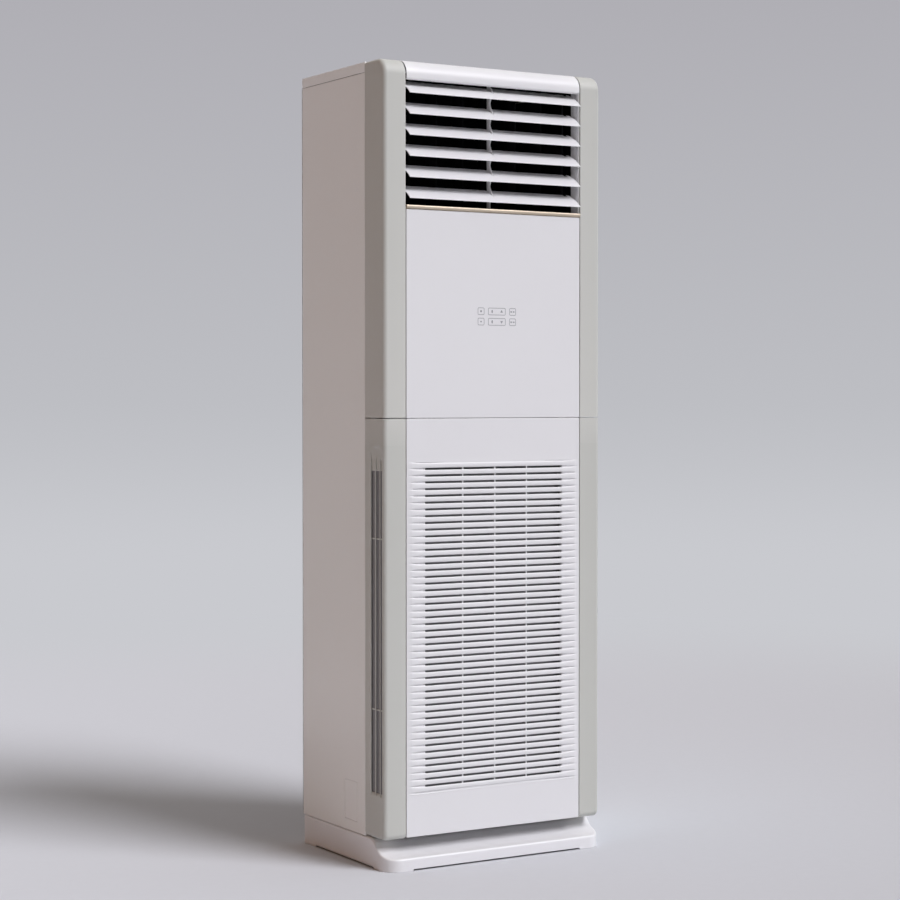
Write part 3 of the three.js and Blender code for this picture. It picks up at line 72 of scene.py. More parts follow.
def piece(name, patches, facing=None):
    """A mesh object made of grids of points in millimetres. A patch is a grid, or a grid and a table
    that is true at the cells left open. Points that meet are merged. Faces are turned outwards, or
    on an open skin so that they look the given way on the whole."""
    points, faces, count = [], [], 0
    for patch in patches:
        grid, open_cells = patch if isinstance(patch, tuple) else (patch, None)
        rows, columns = grid.shape[:2]
        at = count + np.arange(rows * columns).reshape(rows, columns)
        quads = np.stack([at[:-1, :-1], at[:-1, 1:], at[1:, 1:], at[1:, :-1]], -1)
        faces.append(quads.reshape(-1, 4) if open_cells is None else quads[~open_cells])
        points.append(grid.reshape(-1, 3))
        count += rows * columns
    mesh = bpy.data.meshes.new(name)
    mesh.from_pydata(np.concatenate(points) / 1000, [], np.concatenate(faces).tolist())
    work = bmesh.new()
    work.from_mesh(mesh)
    bmesh.ops.remove_doubles(work, verts=work.verts, dist=1e-5)
    bmesh.ops.dissolve_degenerate(work, edges=work.edges, dist=1e-6)
    bmesh.ops.recalc_face_normals(work, faces=work.faces)
    work.to_mesh(mesh)
    work.free()
    if facing is not None:
        normals = np.empty(len(mesh.polygons) * 3)
        areas = np.empty(len(mesh.polygons))
        mesh.polygons.foreach_get("normal", normals)
        mesh.polygons.foreach_get("area", areas)
        if areas @ normals.reshape(-1, 3) @ np.array(facing, float) < 0:
            mesh.flip_normals()
    mesh.shade_smooth()
    mesh.set_sharp_from_angle(angle=math.radians(35))
    made = bpy.data.objects.new(name, mesh)
    bpy.context.scene.collection.objects.link(made)
    return made


def thicken(made, wall):
    """Gives a skin its wall, in millimetres, on the inner side."""
    modifier = made.modifiers.new("wall", "SOLIDIFY")
    modifier.thickness = wall / 1000
    modifier.offset = -1


def mount(made, body, finish, slot, *nodes):
    """Gives a finished piece its material, CAD body and the nodes it stands for; the slot is not
    used. Its flat faces keep straight normals right up to the round edges."""
    even = made.modifiers.new("even", "WEIGHTED_NORMAL")
    even.keep_sharp = True
    made.data.materials.append(finish)
    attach(made, body)
    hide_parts(*nodes)


def linear(code):
    """An sRGB hex colour as linear red, green, blue and alpha."""
    parts = [int(code[i : i + 2], 16) / 255 for i in (1, 3, 5)]
    return [c / 12.92 if c <= 0.04045 else ((c + 0.055) / 1.055) ** 2.4 for c in parts] + [1.0]


def feed(node, inputs):
    """Sets a node's inputs. Each is a value or another node's output."""
    for key, value in inputs.items():
        if isinstance(value, bpy.types.NodeSocket):
            node.id_data.links.new(value, node.inputs[key])
        else:
            node.inputs[key].default_value = value


def add(tree, kind, inputs=None, **settings):
    """Adds a node with its settings and inputs."""
    node = tree.nodes.new(kind)
    for key, value in settings.items():
        setattr(node, key, value)
    feed(node, inputs or {})
    return node


def noise(tree, place, scale, detail):
    """Soft noise over a place, in cycles a metre."""
    inputs = {"Vector": place, "Scale": scale, "Detail": detail}
    return add(tree, "ShaderNodeTexNoise", inputs).outputs[0]


def ramp(tree, value, to=(0.0, 1.0), over=(0.0, 1.0), **settings):
    """Goes evenly from the first to the second of to, while the value crosses over."""
    ends = {"From Min": over[0], "From Max": over[1], "To Min": to[0], "To Max": to[1]}
    return add(tree, "ShaderNodeMapRange", {"Value": value, **ends}, **settings).outputs[0]


def blend(tree, share, first, second):
    """A colour between two. Each is an sRGB hex code, a linear colour or a node's output."""
    first, second = [linear(end) if isinstance(end, str) else end for end in (first, second)]
    mix = add(tree, "ShaderNodeMix", {0: share, 6: first, 7: second}, data_type="RGBA")
    return mix.outputs[2]


def edges(tree, start):
    """One along sharp outer edges, where the surface bends most, and nothing on flat faces."""
    bent = add(tree, "ShaderNodeNewGeometry").outputs["Pointiness"]
    return ramp(tree, bent, over=(start, 0.6))


def blank(name):
    """A new material, its node tree, its main shader and its place on the object."""
    material = bpy.data.materials.new(name)
    material.use_nodes = True
    tree = material.node_tree
    place = add(tree, "ShaderNodeTexCoord").outputs["Object"]
    return material, tree, tree.nodes["Principled BSDF"], place


def coat(shader, colour, gloss, height, strength, distance, fixed=None):
    """Gives a main shader its colour and roughness, a bump whose height is at most the distance
    in metres, and its fixed values."""
    bump = {"Strength": strength, "Distance": distance, "Height": height}
    normal = add(shader.id_data, "ShaderNodeBump", bump).outputs[0]
    feed(shader, {"Base Color": colour, "Roughness": gloss, "Normal": normal, **(fixed or {})})


def moulded_plastic(name, colour, shade, edge_highlight, roughness, grain, specular=0.5):
    """Injection-moulded plastic with a fine spark-eroded grain, in millimetres. Slow flow marks
    shift the colour a little, the grain breaks up the gloss; sharp outer edges get a painted highlight."""
    material, tree, shader, place = blank(name)
    fine = noise(tree, place, 1000 / grain, 2.0)
    tint = blend(tree, noise(tree, place, 2.2, 3.0), colour, shade)
    # painted highlight: sharp outer edges are painted in a paler colour
    tint = blend(tree, edges(tree, 0.51), tint, edge_highlight)
    gloss = ramp(tree, fine, (roughness + 0.06, roughness - 0.06))
    coat(shader, tint, gloss, fine, 0.25, 0.0001, {"IOR": 1.52, "Specular IOR Level": specular})
    return material


# White ABS: bright, neutral and satin. The real grain is 0.1 mm and is drawn 1.5 mm coarse.
white_abs = moulded_plastic("moulded_white_abs", "#f0f0f2", "#ecebee", "#f6f6f7", 0.38, 1.5)


def bezier(start, control, end, steps):
    """Points on a quadratic curve: start, control and end weighted (1-t)^2, 2t(1-t) and t^2."""
    t = np.linspace(0, 1, steps + 1)[:, None]
    return (1 - t) ** 2 * np.array(start) + 2 * t * (1 - t) * np.array(control) + t**2 * np.array(end)


def rim(grid):
    """The border of a grid as one closed loop: its first point is repeated at the end."""
    sides = [grid[0, :-1], grid[:-1, -1], grid[-1, :0:-1], grid[:0:-1, 0], grid[:1, 0]]
    return np.concatenate(sides)


def quarter(radius, steps=4):
    """How far a quarter-round edge has gone outwards and inwards at each step."""
    turn = np.linspace(0, math.pi / 2, steps + 1)
    return radius * np.sin(turn), radius * (1 - np.cos(turn))


def round_rows(low, high, radius_low, radius_high, between):
    """Grid lines from low to high, crowded where the ends' round corners need them."""
    ease = 1 - np.cos(np.linspace(0, math.pi / 2, 9))
    inner = [v for v in between if low + radius_low < v < high - radius_high]
    return np.concatenate([low + radius_low * ease, inner, high - radius_high * ease[::-1]])


def narrowing(value, low, high, radius_low, radius_high):
    """How much narrower than the middle a row is, where its ends lie on the round corners."""
    a = np.clip(low + radius_low - value, 0, radius_low)
    b = np.clip(value - high + radius_high, 0, radius_high)
    return radius_low - np.sqrt(radius_low**2 - a**2) + radius_high - np.sqrt(radius_high**2 - b**2)


def spread(x, y, z):
    """A grid of points whose x, y and z are spread over each other."""
    return np.stack(np.broadcast_arrays(x, y, z), -1)


def plinth_skin():
    """The top is the side outline's height over the plan, whose rows narrow at the round front
    corners. Round its border the edge turns down by a quarter circle into the upright wall."""
    low, high = span("base_plinth")
    toe, rear, half, top = low[1], high[1], high[0], high[2]
    middle = (toe + SLOPE_RUN * 0.7, TOE_HEIGHT + (top - TOE_HEIGHT) * 0.58)
    foot = bezier((toe + 15, TOE_HEIGHT + 1), (middle[0] - 7, TOE_HEIGHT + 11), middle, 10)
    head = bezier(middle, (toe + SLOPE_RUN - 15, top), (toe + SLOPE_RUN + 7, top), 10)
    side = np.concatenate([[(toe + PLINTH_EDGE, TOE_HEIGHT)], foot, head[1:], [(rear, top)]])
    front, back = toe + PLINTH_EDGE, rear - PLINTH_EDGE
    corner, small = PLINTH_CORNER - PLINTH_EDGE, PLINTH_REAR_CORNER
    pads = np.array([toe + PAD_LENGTH, rear - PAD_LENGTH])
    slope = np.linspace(front + corner + 2, toe + SLOPE_RUN + 15, 24)
    between = np.sort(np.concatenate([slope, pads - PAD_STEP, pads + PAD_STEP]))
    y = round_rows(front, back, corner, small, between)
    width = half - PLINTH_EDGE - narrowing(y, front, back, corner, small)
    pad = half - PAD_LENGTH + np.array([-PAD_STEP, PAD_STEP])
    across = np.concatenate([pad / (half - PLINTH_CORNER), pad / (half - PLINTH_EDGE - small), [1]])
    across = np.sort(np.concatenate([-across, np.linspace(-0.7, 0.7, 5), across]))
    face = spread(across * width[:, None], y[:, None], 0.0)
    face[..., 2] = np.interp(y, side[:, 0], side[:, 1])[:, None]
    loop = rim(face)
    is_front = loop[:, 1] < 0
    hold = np.where(is_front, half - PLINTH_CORNER, half - PLINTH_EDGE - small)
    inner_x = np.clip(loop[:, 0], -hold, hold)
    inner_y = np.clip(loop[:, 1], toe + PLINTH_CORNER, back - small)
    away = np.stack([loop[:, 0] - inner_x, loop[:, 1] - inner_y], 1)
    away /= np.linalg.norm(away, axis=1, keepdims=True)
    out, down = quarter(PLINTH_EDGE)
    rings = np.repeat(loop[None], 8, axis=0)
    rings[:5, :, :2] += away * out[:, None, None]
    rings[:5, :, 2] -= down[:, None]
    rings[5:, :, :2] = rings[4, :, :2]
    x, y = rings[4, :, 0], rings[4, :, 1]
    between_pads = np.maximum(half - np.abs(x), np.minimum(y - toe, rear - y)) - PAD_LENGTH
    floor = PAD_LIFT * np.clip(between_pads / PAD_STEP + 0.5, 0, 1)
    fall = np.array([0.5, 0.96, 1])[:, None]
    rings[5:, :, 2] = rings[4, :, 2] * (1 - fall) + floor * fall
    return [face, rings]


plinth = piece("plinth", plinth_skin(), facing=(0, 0, 1))
thicken(plinth, PLINTH_WALL)
mount(plinth, "root", white_abs, "white_abs", "base_plinth")

# ------------------------------------------------------------------ cabinet floor
# Tray pressed from galvanised sheet that closes the cabinet's floor and catches drips.


def dress(finish, *names, edge=0.0):
    """Gives CAD nodes their material. With an edge, in millimetres, their triangles are welded and
    their sharp edges broken."""
    for name in names:
        node = frame["nodes"][name]
        node.data.materials.clear()
        node.data.materials.append(finish)
        if edge:
            weld = node.modifiers.new("weld", "WELD")
            weld.merge_threshold = 1e-5
            bevel = node.modifiers.new("edge", "BEVEL")
            bevel.width = edge / 1000
            bevel.segments = 2
            bevel.limit_method = "ANGLE"
            bevel.angle_limit = math.radians(40)
            bevel.harden_normals = True


def sheet_zinc(name, bright, dull, spangle):
    """Hot-dip galvanised steel: zinc crystals, each with its own grey and gloss, and a faint
    rolling texture. The crystals are drawn at their real size, in millimetres."""
    material, tree, shader, place = blank(name)
    crystals = {"Vector": place, "Scale": 1000 / spangle, "Randomness": 1.0}
    crystals = add(tree, "ShaderNodeTexVoronoi", crystals).outputs["Color"]
    grey = add(tree, "ShaderNodeSeparateColor", {"Color": crystals}).outputs
    tint = blend(tree, grey[0], bright, dull)
    gloss = ramp(tree, grey[1], (0.32, 0.5))
    coat(shader, tint, gloss, noise(tree, place, 160.0, 2.0), 0.2, 0.0001, {"Metallic": 1.0})
    return material


galvanised = sheet_zinc("galvanised_sheet", "#b9bec2", "#a2a8ad", 9.0)
dress(galvanised, "base_tray", edge=0.3)

# ------------------------------------------------------------------ side panels
# Folded steel sheets, powder coated white, screwed to the plinth and the top cover. The left one
# has the scored outline of the hole that is knocked out for the pipes.

SHEET = 1.2
FOLD = 2.0
FLANGE = 14
KNOCKOUT = (66, 94)
KNOCKOUT_FROM_EDGE = (35, 25)
SCORE = 2.4
SCORE_DEPTH = 0.95


def tray(low, high, corner, edge, depth, across, up, relief=None, holes=None):
    """The outer skin of a sheet with folded edges, as points (a, b, depth below its face). A flat
    face over a rectangle with round corners turns by a quarter circle into a wall all round. Relief
    gives the face's depth at (a, b), and holes tells which cells' middles are cut out."""
    low = np.array(low, float) + edge
    high = np.array(high, float) - edge
    corner = max(corner - edge, 0.02)
    b = round_rows(low[1], high[1], corner, corner, up)
    middle, half = (low[0] + high[0]) / 2, (high[0] - low[0]) / 2
    lines = [v for v in across if low[0] + corner < v < high[0] - corner]
    lines = (np.concatenate([[low[0]], lines, [high[0]]]) - middle) / half
    width = half - narrowing(b, low[1], high[1], corner, corner)
    a = middle + lines * width[:, None]
    b = np.broadcast_to(b[:, None], a.shape)
    face = np.stack([a, b, relief(a, b) if relief else np.zeros_like(a)], -1)
    loop = rim(face)
    away = loop[:, :2] - np.clip(loop[:, :2], low + corner, high - corner)
    away /= np.linalg.norm(away, axis=1, keepdims=True)
    out, down = quarter(edge)
    out, down = np.append(out, edge), np.append(down, depth)
    rings = np.repeat(loop[None], len(out), axis=0)
    rings[..., :2] += away * out[:, None, None]
    rings[..., 2] += down[:, None]
    if holes is None:
        return [face, rings]
    cell = (face[:-1, :-1] + face[1:, 1:]) / 2
    return [(face, holes(cell[..., 0], cell[..., 1])), rings]


def turned_to(patches, place):
    """Moves patches of (a, b, depth) into the model: place gives x, y and z."""
    moved = []
    for patch in patches:
        grid, open_cells = patch if isinstance(patch, tuple) else (patch, None)
        points = np.stack(place(grid[..., 0], grid[..., 1], grid[..., 2]), -1)
        moved.append(points if open_cells is None else (points, open_cells))
    return moved


def powder_coat(name, colour, shade, roughness):
    """Powder-coated steel: a glossy, slightly wavy film. The orange peel is 2 mm in reality and is
    drawn 7 mm coarse; a paler line painted along the folds is a painted highlight."""
    material, tree, shader, place = blank(name)
    peel = noise(tree, place, 140.0, 1.0)
    tint = blend(tree, noise(tree, place, 1.6, 3.0), colour, shade)
    # painted highlight: a paler line along the folds
    tint = blend(tree, edges(tree, 0.52), tint, "#f7f6f4")
    gloss = ramp(tree, peel, (roughness - 0.04, roughness + 0.05))
    film = {"Coat Weight": 1.0, "Coat Roughness": 0.15}
    coat(shader, tint, gloss, peel, 0.2, 0.0002, film)
    return material


white_paint = powder_coat("powder_coated_white", "#f8f5f1", "#f4f1ec", 0.3)


def side_skin(scored):
    """The panel's tray, stood on edge. The score is a V-shaped groove along a rectangle: its depth
    falls off with the distance from the rectangle's sides."""
    low, high = span("side_panel_left")
    start = low[1:] + KNOCKOUT_FROM_EDGE
    size = np.array(KNOCKOUT)
    middle = start + size / 2
    steps = np.array([0, 0.5, 1]) * SCORE

    def score(y, z):
        past = np.maximum(np.abs(y - middle[0]) - size[0] / 2, np.abs(z - middle[1]) - size[1] / 2)
        return SCORE_DEPTH * np.clip(1 - np.abs(past / (SCORE / 2) + 1), 0, 1)

    y = np.concatenate([start[0] + steps, start[0] + size[0] - steps[::-1]])
    z = np.concatenate([start[1] + steps, start[1] + size[1] - steps[::-1]])
    y = np.concatenate([y, np.linspace(start[0] + size[0] + 20, high[1] - 10, 5)])
    z = np.concatenate([z, np.linspace(start[1] + size[1] + 20, high[2] - 10, 12)])
    patches = tray(low[1:], high[1:], FOLD, FOLD, FLANGE, y, z, relief=score if scored else None)
    return turned_to(patches, lambda y, z, depth: (low[0] + depth, y, z))


def mirrored(patches):
    """The same patches on the other side of the middle."""
    return turned_to(patches, lambda x, y, z: (-x, y, z))


left_side = piece("side_panel_left_sheet", side_skin(scored=True), facing=(-1, 0, 0))
right_side = piece("side_panel_right_sheet", mirrored(side_skin(scored=False)), facing=(1, 0, 0))
for side, node in ((left_side, "side_panel_left"), (right_side, "side_panel_right")):
    thicken(side, SHEET)
    mount(side, "root", white_paint, "white_paint", node)

# ------------------------------------------------------------------ rear panel
# Flat galvanised sheet with two pressed beads that stiffen it. It is held by zinc-plated screws,
# and the supply cable leaves through a rubber bush near the floor.

REAR_SHEET = 0.6
REAR_SETBACK = 0.6  # leaves room for the screw heads
BEAD_X = 150
BEAD_HALF = 9
BEAD_DEPTH = 1.3
BEAD_END = 190
BUSH_FIELD = 24
BUSH_OVERLAP = 3
SCREW_RADIUS = 3.6
SCREW_PITCH = 210
SCREW_INSET = 8


def spun(profile, centre, axis, sides=24):
    """A closed round solid: rows of (radius, place along the axis) carried round the axis through
    the centre, which is given by its other two coordinates."""
    profile = np.array(profile, float)
    angle = np.linspace(0, 2 * math.pi, sides + 1)
    first = centre[0] + profile[:, :1] * np.cos(angle)
    second = centre[1] + profile[:, :1] * np.sin(angle)
    along = profile[:, 1:]
    order = {"x": (along, first, second), "y": (first, along, second)}
    return spread(*order[axis])


def rear_skin():
    """The panel's tray, facing back. Each bead's depth falls off with the distance from its middle
    line. The square round the bush is left open and filled by rings that change from the square
    to the bush's circle."""
    low, high = span("rear_panel")
    bush = span("cable_grommet")
    centre = (bush[0] + bush[1])[[0, 2]] / 2
    radius = (bush[1] - bush[0])[0] / 2 - BUSH_OVERLAP
    face = high[1] - REAR_SETBACK

    def bead(x, z):
        past = np.abs(z - (low[2] + high[2]) / 2) - ((high[2] - low[2]) / 2 - BEAD_END)
        far = np.hypot(np.abs(x) - BEAD_X, np.clip(past, 0, None)) / BEAD_HALF
        return BEAD_DEPTH * np.clip(1 - far**2, 0, 1) ** 0.7

    field = np.linspace(-BUSH_FIELD, BUSH_FIELD, 9)
    width = BEAD_HALF * np.array([-1, -0.9, -0.7, -0.4, 0, 0.4, 0.7, 0.9, 1])
    x = np.sort(np.concatenate([centre[0] + field, BEAD_X + width, -BEAD_X + width, [0]]))
    turn = BEAD_END - BEAD_HALF
    ends = np.concatenate([low[2] + turn + width, high[2] - turn + width])
    z = np.sort(np.concatenate([centre[1] + field, ends, np.linspace(400, 1500, 8)]))

    def bush_field(a, b):
        return (np.abs(a - centre[0]) < BUSH_FIELD) & (np.abs(b - centre[1]) < BUSH_FIELD)

    patches = tray(low[[0, 2]], high[[0, 2]], 2, 0.3, 0.35, x, z, relief=bead, holes=bush_field)
    square = np.stack(np.meshgrid(field, field), -1)
    outer = rim(square)
    inner = radius * outer / np.linalg.norm(outer, axis=1, keepdims=True)
    share = np.array([0, 0.5, 1])[:, None, None]
    rings = centre + outer * (1 - share) + inner * share
    patches.append(np.concatenate([rings, np.zeros(rings.shape[:2] + (1,))], -1))
    return turned_to(patches, lambda x, z, depth: (x, face - depth, z))


rear_sheet = piece("rear_sheet", rear_skin(), facing=(0, 1, 0))
thicken(rear_sheet, REAR_SHEET)
mount(rear_sheet, "root", galvanised, "galvanised_steel", "rear_panel")


def turned_steel(name, colour, tone, roughness):
    """Turned and zinc-plated steel: a clean grey metal whose gloss changes in fine marks and
    patches, drawn 1.5 mm coarse."""
    material, tree, shader, place = blank(name)
    marks = noise(tree, place, 650.0, 2.0)
    tint = blend(tree, noise(tree, place, 60.0, 3.0), colour, tone)
    gloss = ramp(tree, marks, (roughness - 0.08, roughness + 0.1))
    coat(shader, tint, gloss, marks, 0.15, 0.0001, {"Metallic": 1.0})
    return material


plated_steel = turned_steel("zinc_plated_steel", "#c3c6c8", "#a9adb1", 0.3)


def rear_screws():
    """Low pan heads in two columns and at both ends of the sheet. Each head is a dome, spun from
    twelfths of its radius, with a sunk middle for the driver."""
    low, high = span("rear_panel")
    face = high[1] - REAR_SETBACK
    count = int((high[2] - low[2] - 2 * SCREW_INSET) // SCREW_PITCH) + 1
    z = np.linspace(low[2] + 2 * SCREW_INSET, high[2] - 2 * SCREW_INSET, count)
    columns = [(side * (high[0] - SCREW_INSET), at) for side in (-1, 1) for at in z]
    rows = [(x, at) for x in (-100, 100) for at in (low[2] + SCREW_INSET, high[2] - SCREW_INSET)]
    radius = np.array([0, 3, 4, 8, 11, 12, 12, 0]) / 12 * SCREW_RADIUS
    height = face + np.array([0.25, 0.25, 0.5, 0.48, 0.34, 0.1, -0.2, -0.2])
    profile = np.stack([radius, height], 1)
    return [spun(profile, at, "y", sides=12) for at in columns + rows]


screws = piece("rear_screws", rear_screws())
mount(screws, "root", plated_steel, "steel")


def mottled(name, colours, gloss, scale, detail, strength, distance=0.0001, fixed=None):
    """A finish whose colour, gloss and height follow one soft noise. Its scale is in cycles a
    metre, or in cycles along x, y and z where the marks run one way."""
    material, tree, shader, place = blank(name)
    if isinstance(scale, tuple):
        place = add(tree, "ShaderNodeMapping", {"Vector": place, "Scale": scale}).outputs[0]
        scale = 1.0
    marks = noise(tree, place, scale, detail)
    tint = blend(tree, marks, *colours)
    coat(shader, tint, ramp(tree, marks, gloss), marks, strength, distance, fixed)
    return material


# Moulded EPDM rubber: nearly black, dull, with a bloom of paler dust in its pores.
rubber = mottled("moulded_epdm_rubber", ("#1b1b1c", "#2e2d2c"), (0.65, 0.85), 90.0, 4.0, 0.3)


def bush_solid():
    """The bush's section carried round its axis: collar, waist in the sheet, lip and bore."""
    low, high = span("cable_grommet")
    centre = (low + high)[[0, 2]] / 2
    collar = (high - low)[0] / 2
    waist, bore, back = collar - 4.3, collar - 8, low[1]
    section = [
        (bore, back + 0.5),
        (bore + 0.6, back),
        (collar - 0.8, back),
        (collar, back + 0.8),
        (collar, back + 2.6),
        (waist, back + 3),
        (waist, high[1] - 0.5),
        (waist - 0.6, high[1]),
        (bore + 0.8, high[1]),
        (bore, high[1] - 0.8),
        (bore, back + 0.5),
    ]
    return [spun(section, centre, "y", sides=40)]


bush = piece("cable_bush", bush_solid())
mount(bush, "root", rubber, "rubber", "cable_grommet")

# ------------------------------------------------------------------ shelf and partition
# Galvanised sheets inside the cabinet: the shelf under the coil and the upright sheet with the
# blower's inlet. Both are spot-welded to the side panels' flanges.

dress(galvanised, "fan_deck", "blower_partition", edge=0.3)

# ------------------------------------------------------------------ blower
# Galvanised scroll casing with a spun bell-mouthed inlet ring, a moulded black wheel on a turned
# steel shaft, and the motor on its cross-shaped bracket behind.

BELL_FLANGE = 28
BELL_MOUTH = 20
BELL_WALL = 1.6
BELL_SIDES = 64


def inlet_solid():
    """The bell mouth's section, a flat flange that turns into the wheel along a quarter ellipse,
    carried round the blower's axis."""
    low, high = span("inlet_ring")
    centre = (low + high)[[0, 2]] / 2
    flange, front, back = (high - low)[0] / 2, low[1], high[1]
    turn = np.linspace(0, math.pi / 2, 13)
    radius = flange - BELL_FLANGE + BELL_MOUTH * (1 - np.sin(turn))
    along = front + (back - front) * (1 - np.cos(turn))
    outside = zip(radius[::-1] + BELL_WALL, along[::-1] + 0.4)
    section = [(flange, front), *zip(radius, along), *outside]
    section = np.array([*section, (flange, front + BELL_WALL), (flange, front)])
    section[:, 1] = np.minimum(section[:, 1], back)
    return [spun(section, centre, "y", sides=BELL_SIDES)]


inlet = piece("bell_mouth", inlet_solid())
mount(inlet, "root", galvanised, "galvanised_steel", "inlet_ring")
dress(galvanised, "scroll_casing", "motor_bracket", edge=0.3)
dress(plated_steel, "fan_motor", "fan_shaft", edge=0.6)

# Black ABS: a deep neutral black, matt so that the outlet behind the louvres looks unlit.
black_abs = moulded_plastic("moulded_black_abs", "#0f0f11", "#0b0b0d", "#1c1c1f", 0.6, 1.5, 0.15)
dress(black_abs, "fan_wheel")

# ------------------------------------------------------------------ coil and pipes
# Plate-fin coil of aluminium finstock with brazed copper return bends, leaning over a moulded foam
# pan. Copper lines run down to the knock-out, and a grey hose drains the pan.

# Aluminium finstock painted near-black as painted shade for the dark chamber it stands in,
# # with paler streaks up the fins.
fins = mottled(
    "aluminium_finstock_painted_shade", ("#0b0b0d", "#151618"), (0.6, 0.8), (400.0, 400.0, 20.0), 3.0, 0.2,
    fixed={"Specular IOR Level": 0.2},
)

# Drawn copper tube: warm red metal, browned in patches by brazing and handling.
copper = mottled(
    "drawn_copper_tube", ("#c98058", "#8f563a"), (0.22, 0.45), 35.0, 4.0, 0.15, 0.0002,
    fixed={"Metallic": 1.0},
)


def bead_foam(name):
    """Expanded polystyrene moulded from 4 mm beads: matt white, with a dimple where beads meet."""
    material, tree, shader, place = blank(name)
    beads = {"Vector": place, "Scale": 250.0}
    beads = add(tree, "ShaderNodeTexVoronoi", beads, feature="DISTANCE_TO_EDGE").outputs[0]
    seam = ramp(tree, beads, over=(0, 0.18))
    coat(shader, blend(tree, seam, "#d9d9d6", "#f3f3f1"), 0.88, seam, 0.5, 0.0003)
    return material


# Grey ABS: light, slightly warm and satin, with the same grain as the white.
grey_abs = moulded_plastic("moulded_grey_abs", "#cccdc8", "#c6c7c1", "#d5d5d0", 0.5, 1.5)
foam = bead_foam("expanded_polystyrene")
dress(fins, "evaporator_fins")
dress(copper, "coil_end_plate_left", "coil_end_plate_right", "gas_pipe", "liquid_pipe")
dress(foam, "drain_pan", edge=1.0)
dress(grey_abs, "drain_hose")

# ------------------------------------------------------------------ baffle and electrical box
# Foam board behind the upper panel, with the galvanised box for the main board on it. The boards
# are glass-epoxy laminate under green solder mask.


def solder_mask(name):
    """Green solder mask over copper tracks: the tracks stand out paler and a little higher. They
    are drawn 2.5 mm apart."""
    material, tree, shader, place = blank(name)
    turn = {"Vector": place, "Rotation": (math.pi / 2, 0.0, 0.0), "Scale": (60.0, 60.0, 60.0)}
    turn = add(tree, "ShaderNodeMapping", turn).outputs[0]
    tracks = {"Vector": turn, "Scale": 1.0, "Mortar Size": 0.06}
    tracks = add(tree, "ShaderNodeTexBrick", tracks).outputs["Fac"]
    tint = blend(tree, tracks, "#17603a", "#2f8a54")
    coat(shader, tint, ramp(tree, tracks, (0.3, 0.4)), tracks, 0.3, 0.0001)
    return material


circuit = solder_mask("green_solder_mask")
dress(foam, "front_baffle", edge=1.0)
dress(galvanised, "control_box", "control_box_cover", edge=0.3)
dress(circuit, "main_board", "display_board")

# ------------------------------------------------------------------ outlet duct and vanes
# Black moulded sleeve with six upright vanes on one link, which swing together. A small stepper
# motor on the roof turns the last vane.

dress(black_abs, "outlet_duct", "vane_link", edge=0.4)
dress(black_abs, *[f"vane_{i}" for i in range(1, 7)])
dress(plated_steel, "vane_motor", edge=0.5)

# ------------------------------------------------------------------ insulation
# Black closed-cell rubber foam, glued inside the sheets round the chamber behind the outlet. The
# rear sheet is embossed with level grooves, which show faintly between the louvres.

LINING = 6
LINING_TOP = 14
LINING_GAP = 16
WAVE_PITCH = 12
WAVE_DEPTH = 1.5


def closed(rings):
    """Closes a tube of rings: its first and last ring are drawn together to their middle point."""
    ends = [np.repeat(ring.mean(axis=0)[None], len(ring), axis=0) for ring in (rings[0], rings[-1])]
    return np.concatenate([ends[0][None], rings, ends[1][None]])


def round_bar(low, high, radius):
    """A bar with round edges: a rectangle with quarter-circle corners is carried along z, and both
    ends draw in by a quarter circle."""
    low, high = np.array(low, float), np.array(high, float)
    angle = ((np.arange(4)[:, None] + np.linspace(0, 1, 4)) * math.pi / 2).ravel()
    centre, half = (low + high) / 2, (high - low) / 2 - radius
    out, down = quarter(radius)
    grow = np.concatenate([out, out[::-1]])[:, None]
    z = np.concatenate([low[2] + down, high[2] - down[::-1]])[:, None]
    x = centre[0] + np.repeat([1, -1, -1, 1], 4) * half[0] + grow * np.cos(angle)
    y = centre[1] + np.repeat([1, 1, -1, -1], 4) * half[1] + grow * np.sin(angle)
    rings = spread(x, y, z)
    return closed(np.concatenate([rings, rings[:, :1]], axis=1))


def lining_solid():
    """Round-edged sheets at the sides and under the lid. The rear sheet's front is carried along x:
    its y follows the cosine of the height."""
    low, high = span("outlet_duct")
    half = span("side_panel_right")[1][0] - SHEET - 1.5
    back = span("rear_panel")[0][1] - 2.4
    base, top = low[2] + 2, high[2] + LINING_TOP
    z = np.linspace(base, top, int((top - base) / WAVE_PITCH * 8))
    wave = WAVE_DEPTH * (0.5 + 0.5 * np.cos(2 * math.pi * z / WAVE_PITCH))
    z = np.concatenate([z, [top, base, base]])
    y = np.concatenate([back - LINING + wave, [back, back, back - LINING + wave[0]]])
    inner = half - LINING
    rear = closed(spread([[-inner], [inner]], y, z))
    left = round_bar((-half, high[1] + 4, base), (-inner, back - LINING_GAP, top), 1)
    roof = round_bar((-inner, 20, top), (inner, back - LINING_GAP, top + LINING), 1)
    return [rear, left, *mirrored([left]), roof]


# Closed-cell rubber foam: a dull deep black with a fine pitted skin. The cells are 1 mm in reality
# and are drawn 3 mm coarse.
cell_foam = mottled(
    "closed_cell_rubber_foam", ("#070708", "#101012"), (0.75, 0.95), 330.0, 3.0, 0.3, 0.0003,
    fixed={"Specular IOR Level": 0.2},
)
lining = piece("chamber_lining", lining_solid())
mount(lining, "root", cell_foam, "rubber")

# ------------------------------------------------------------------ outlet frame and middle post
# Moulded white frame with a cheek at each end of the outlet. The post in its middle is a thin blade
# whose front edge comes forward to hold each louvre's pin and draws back between them.

POST_HALF = 1.5
POST_BACK = 6
POST_REACH = 10.5
POST_ENDS = 12
LOUVRES = [f"louvre_{i}" for i in range(1, 7)]

dress(white_abs, "outlet_frame", edge=0.5)
dress(plated_steel, "louvre_motor", edge=0.5)


def louvre_pivots():
    """The y and z of each louvre's pivot, in millimetres."""
    places = {joint["child"]: joint.get("pos_m") for joint in frame["joints"]}
    return [np.array(places[name])[1:] * 1000 for name in LOUVRES]


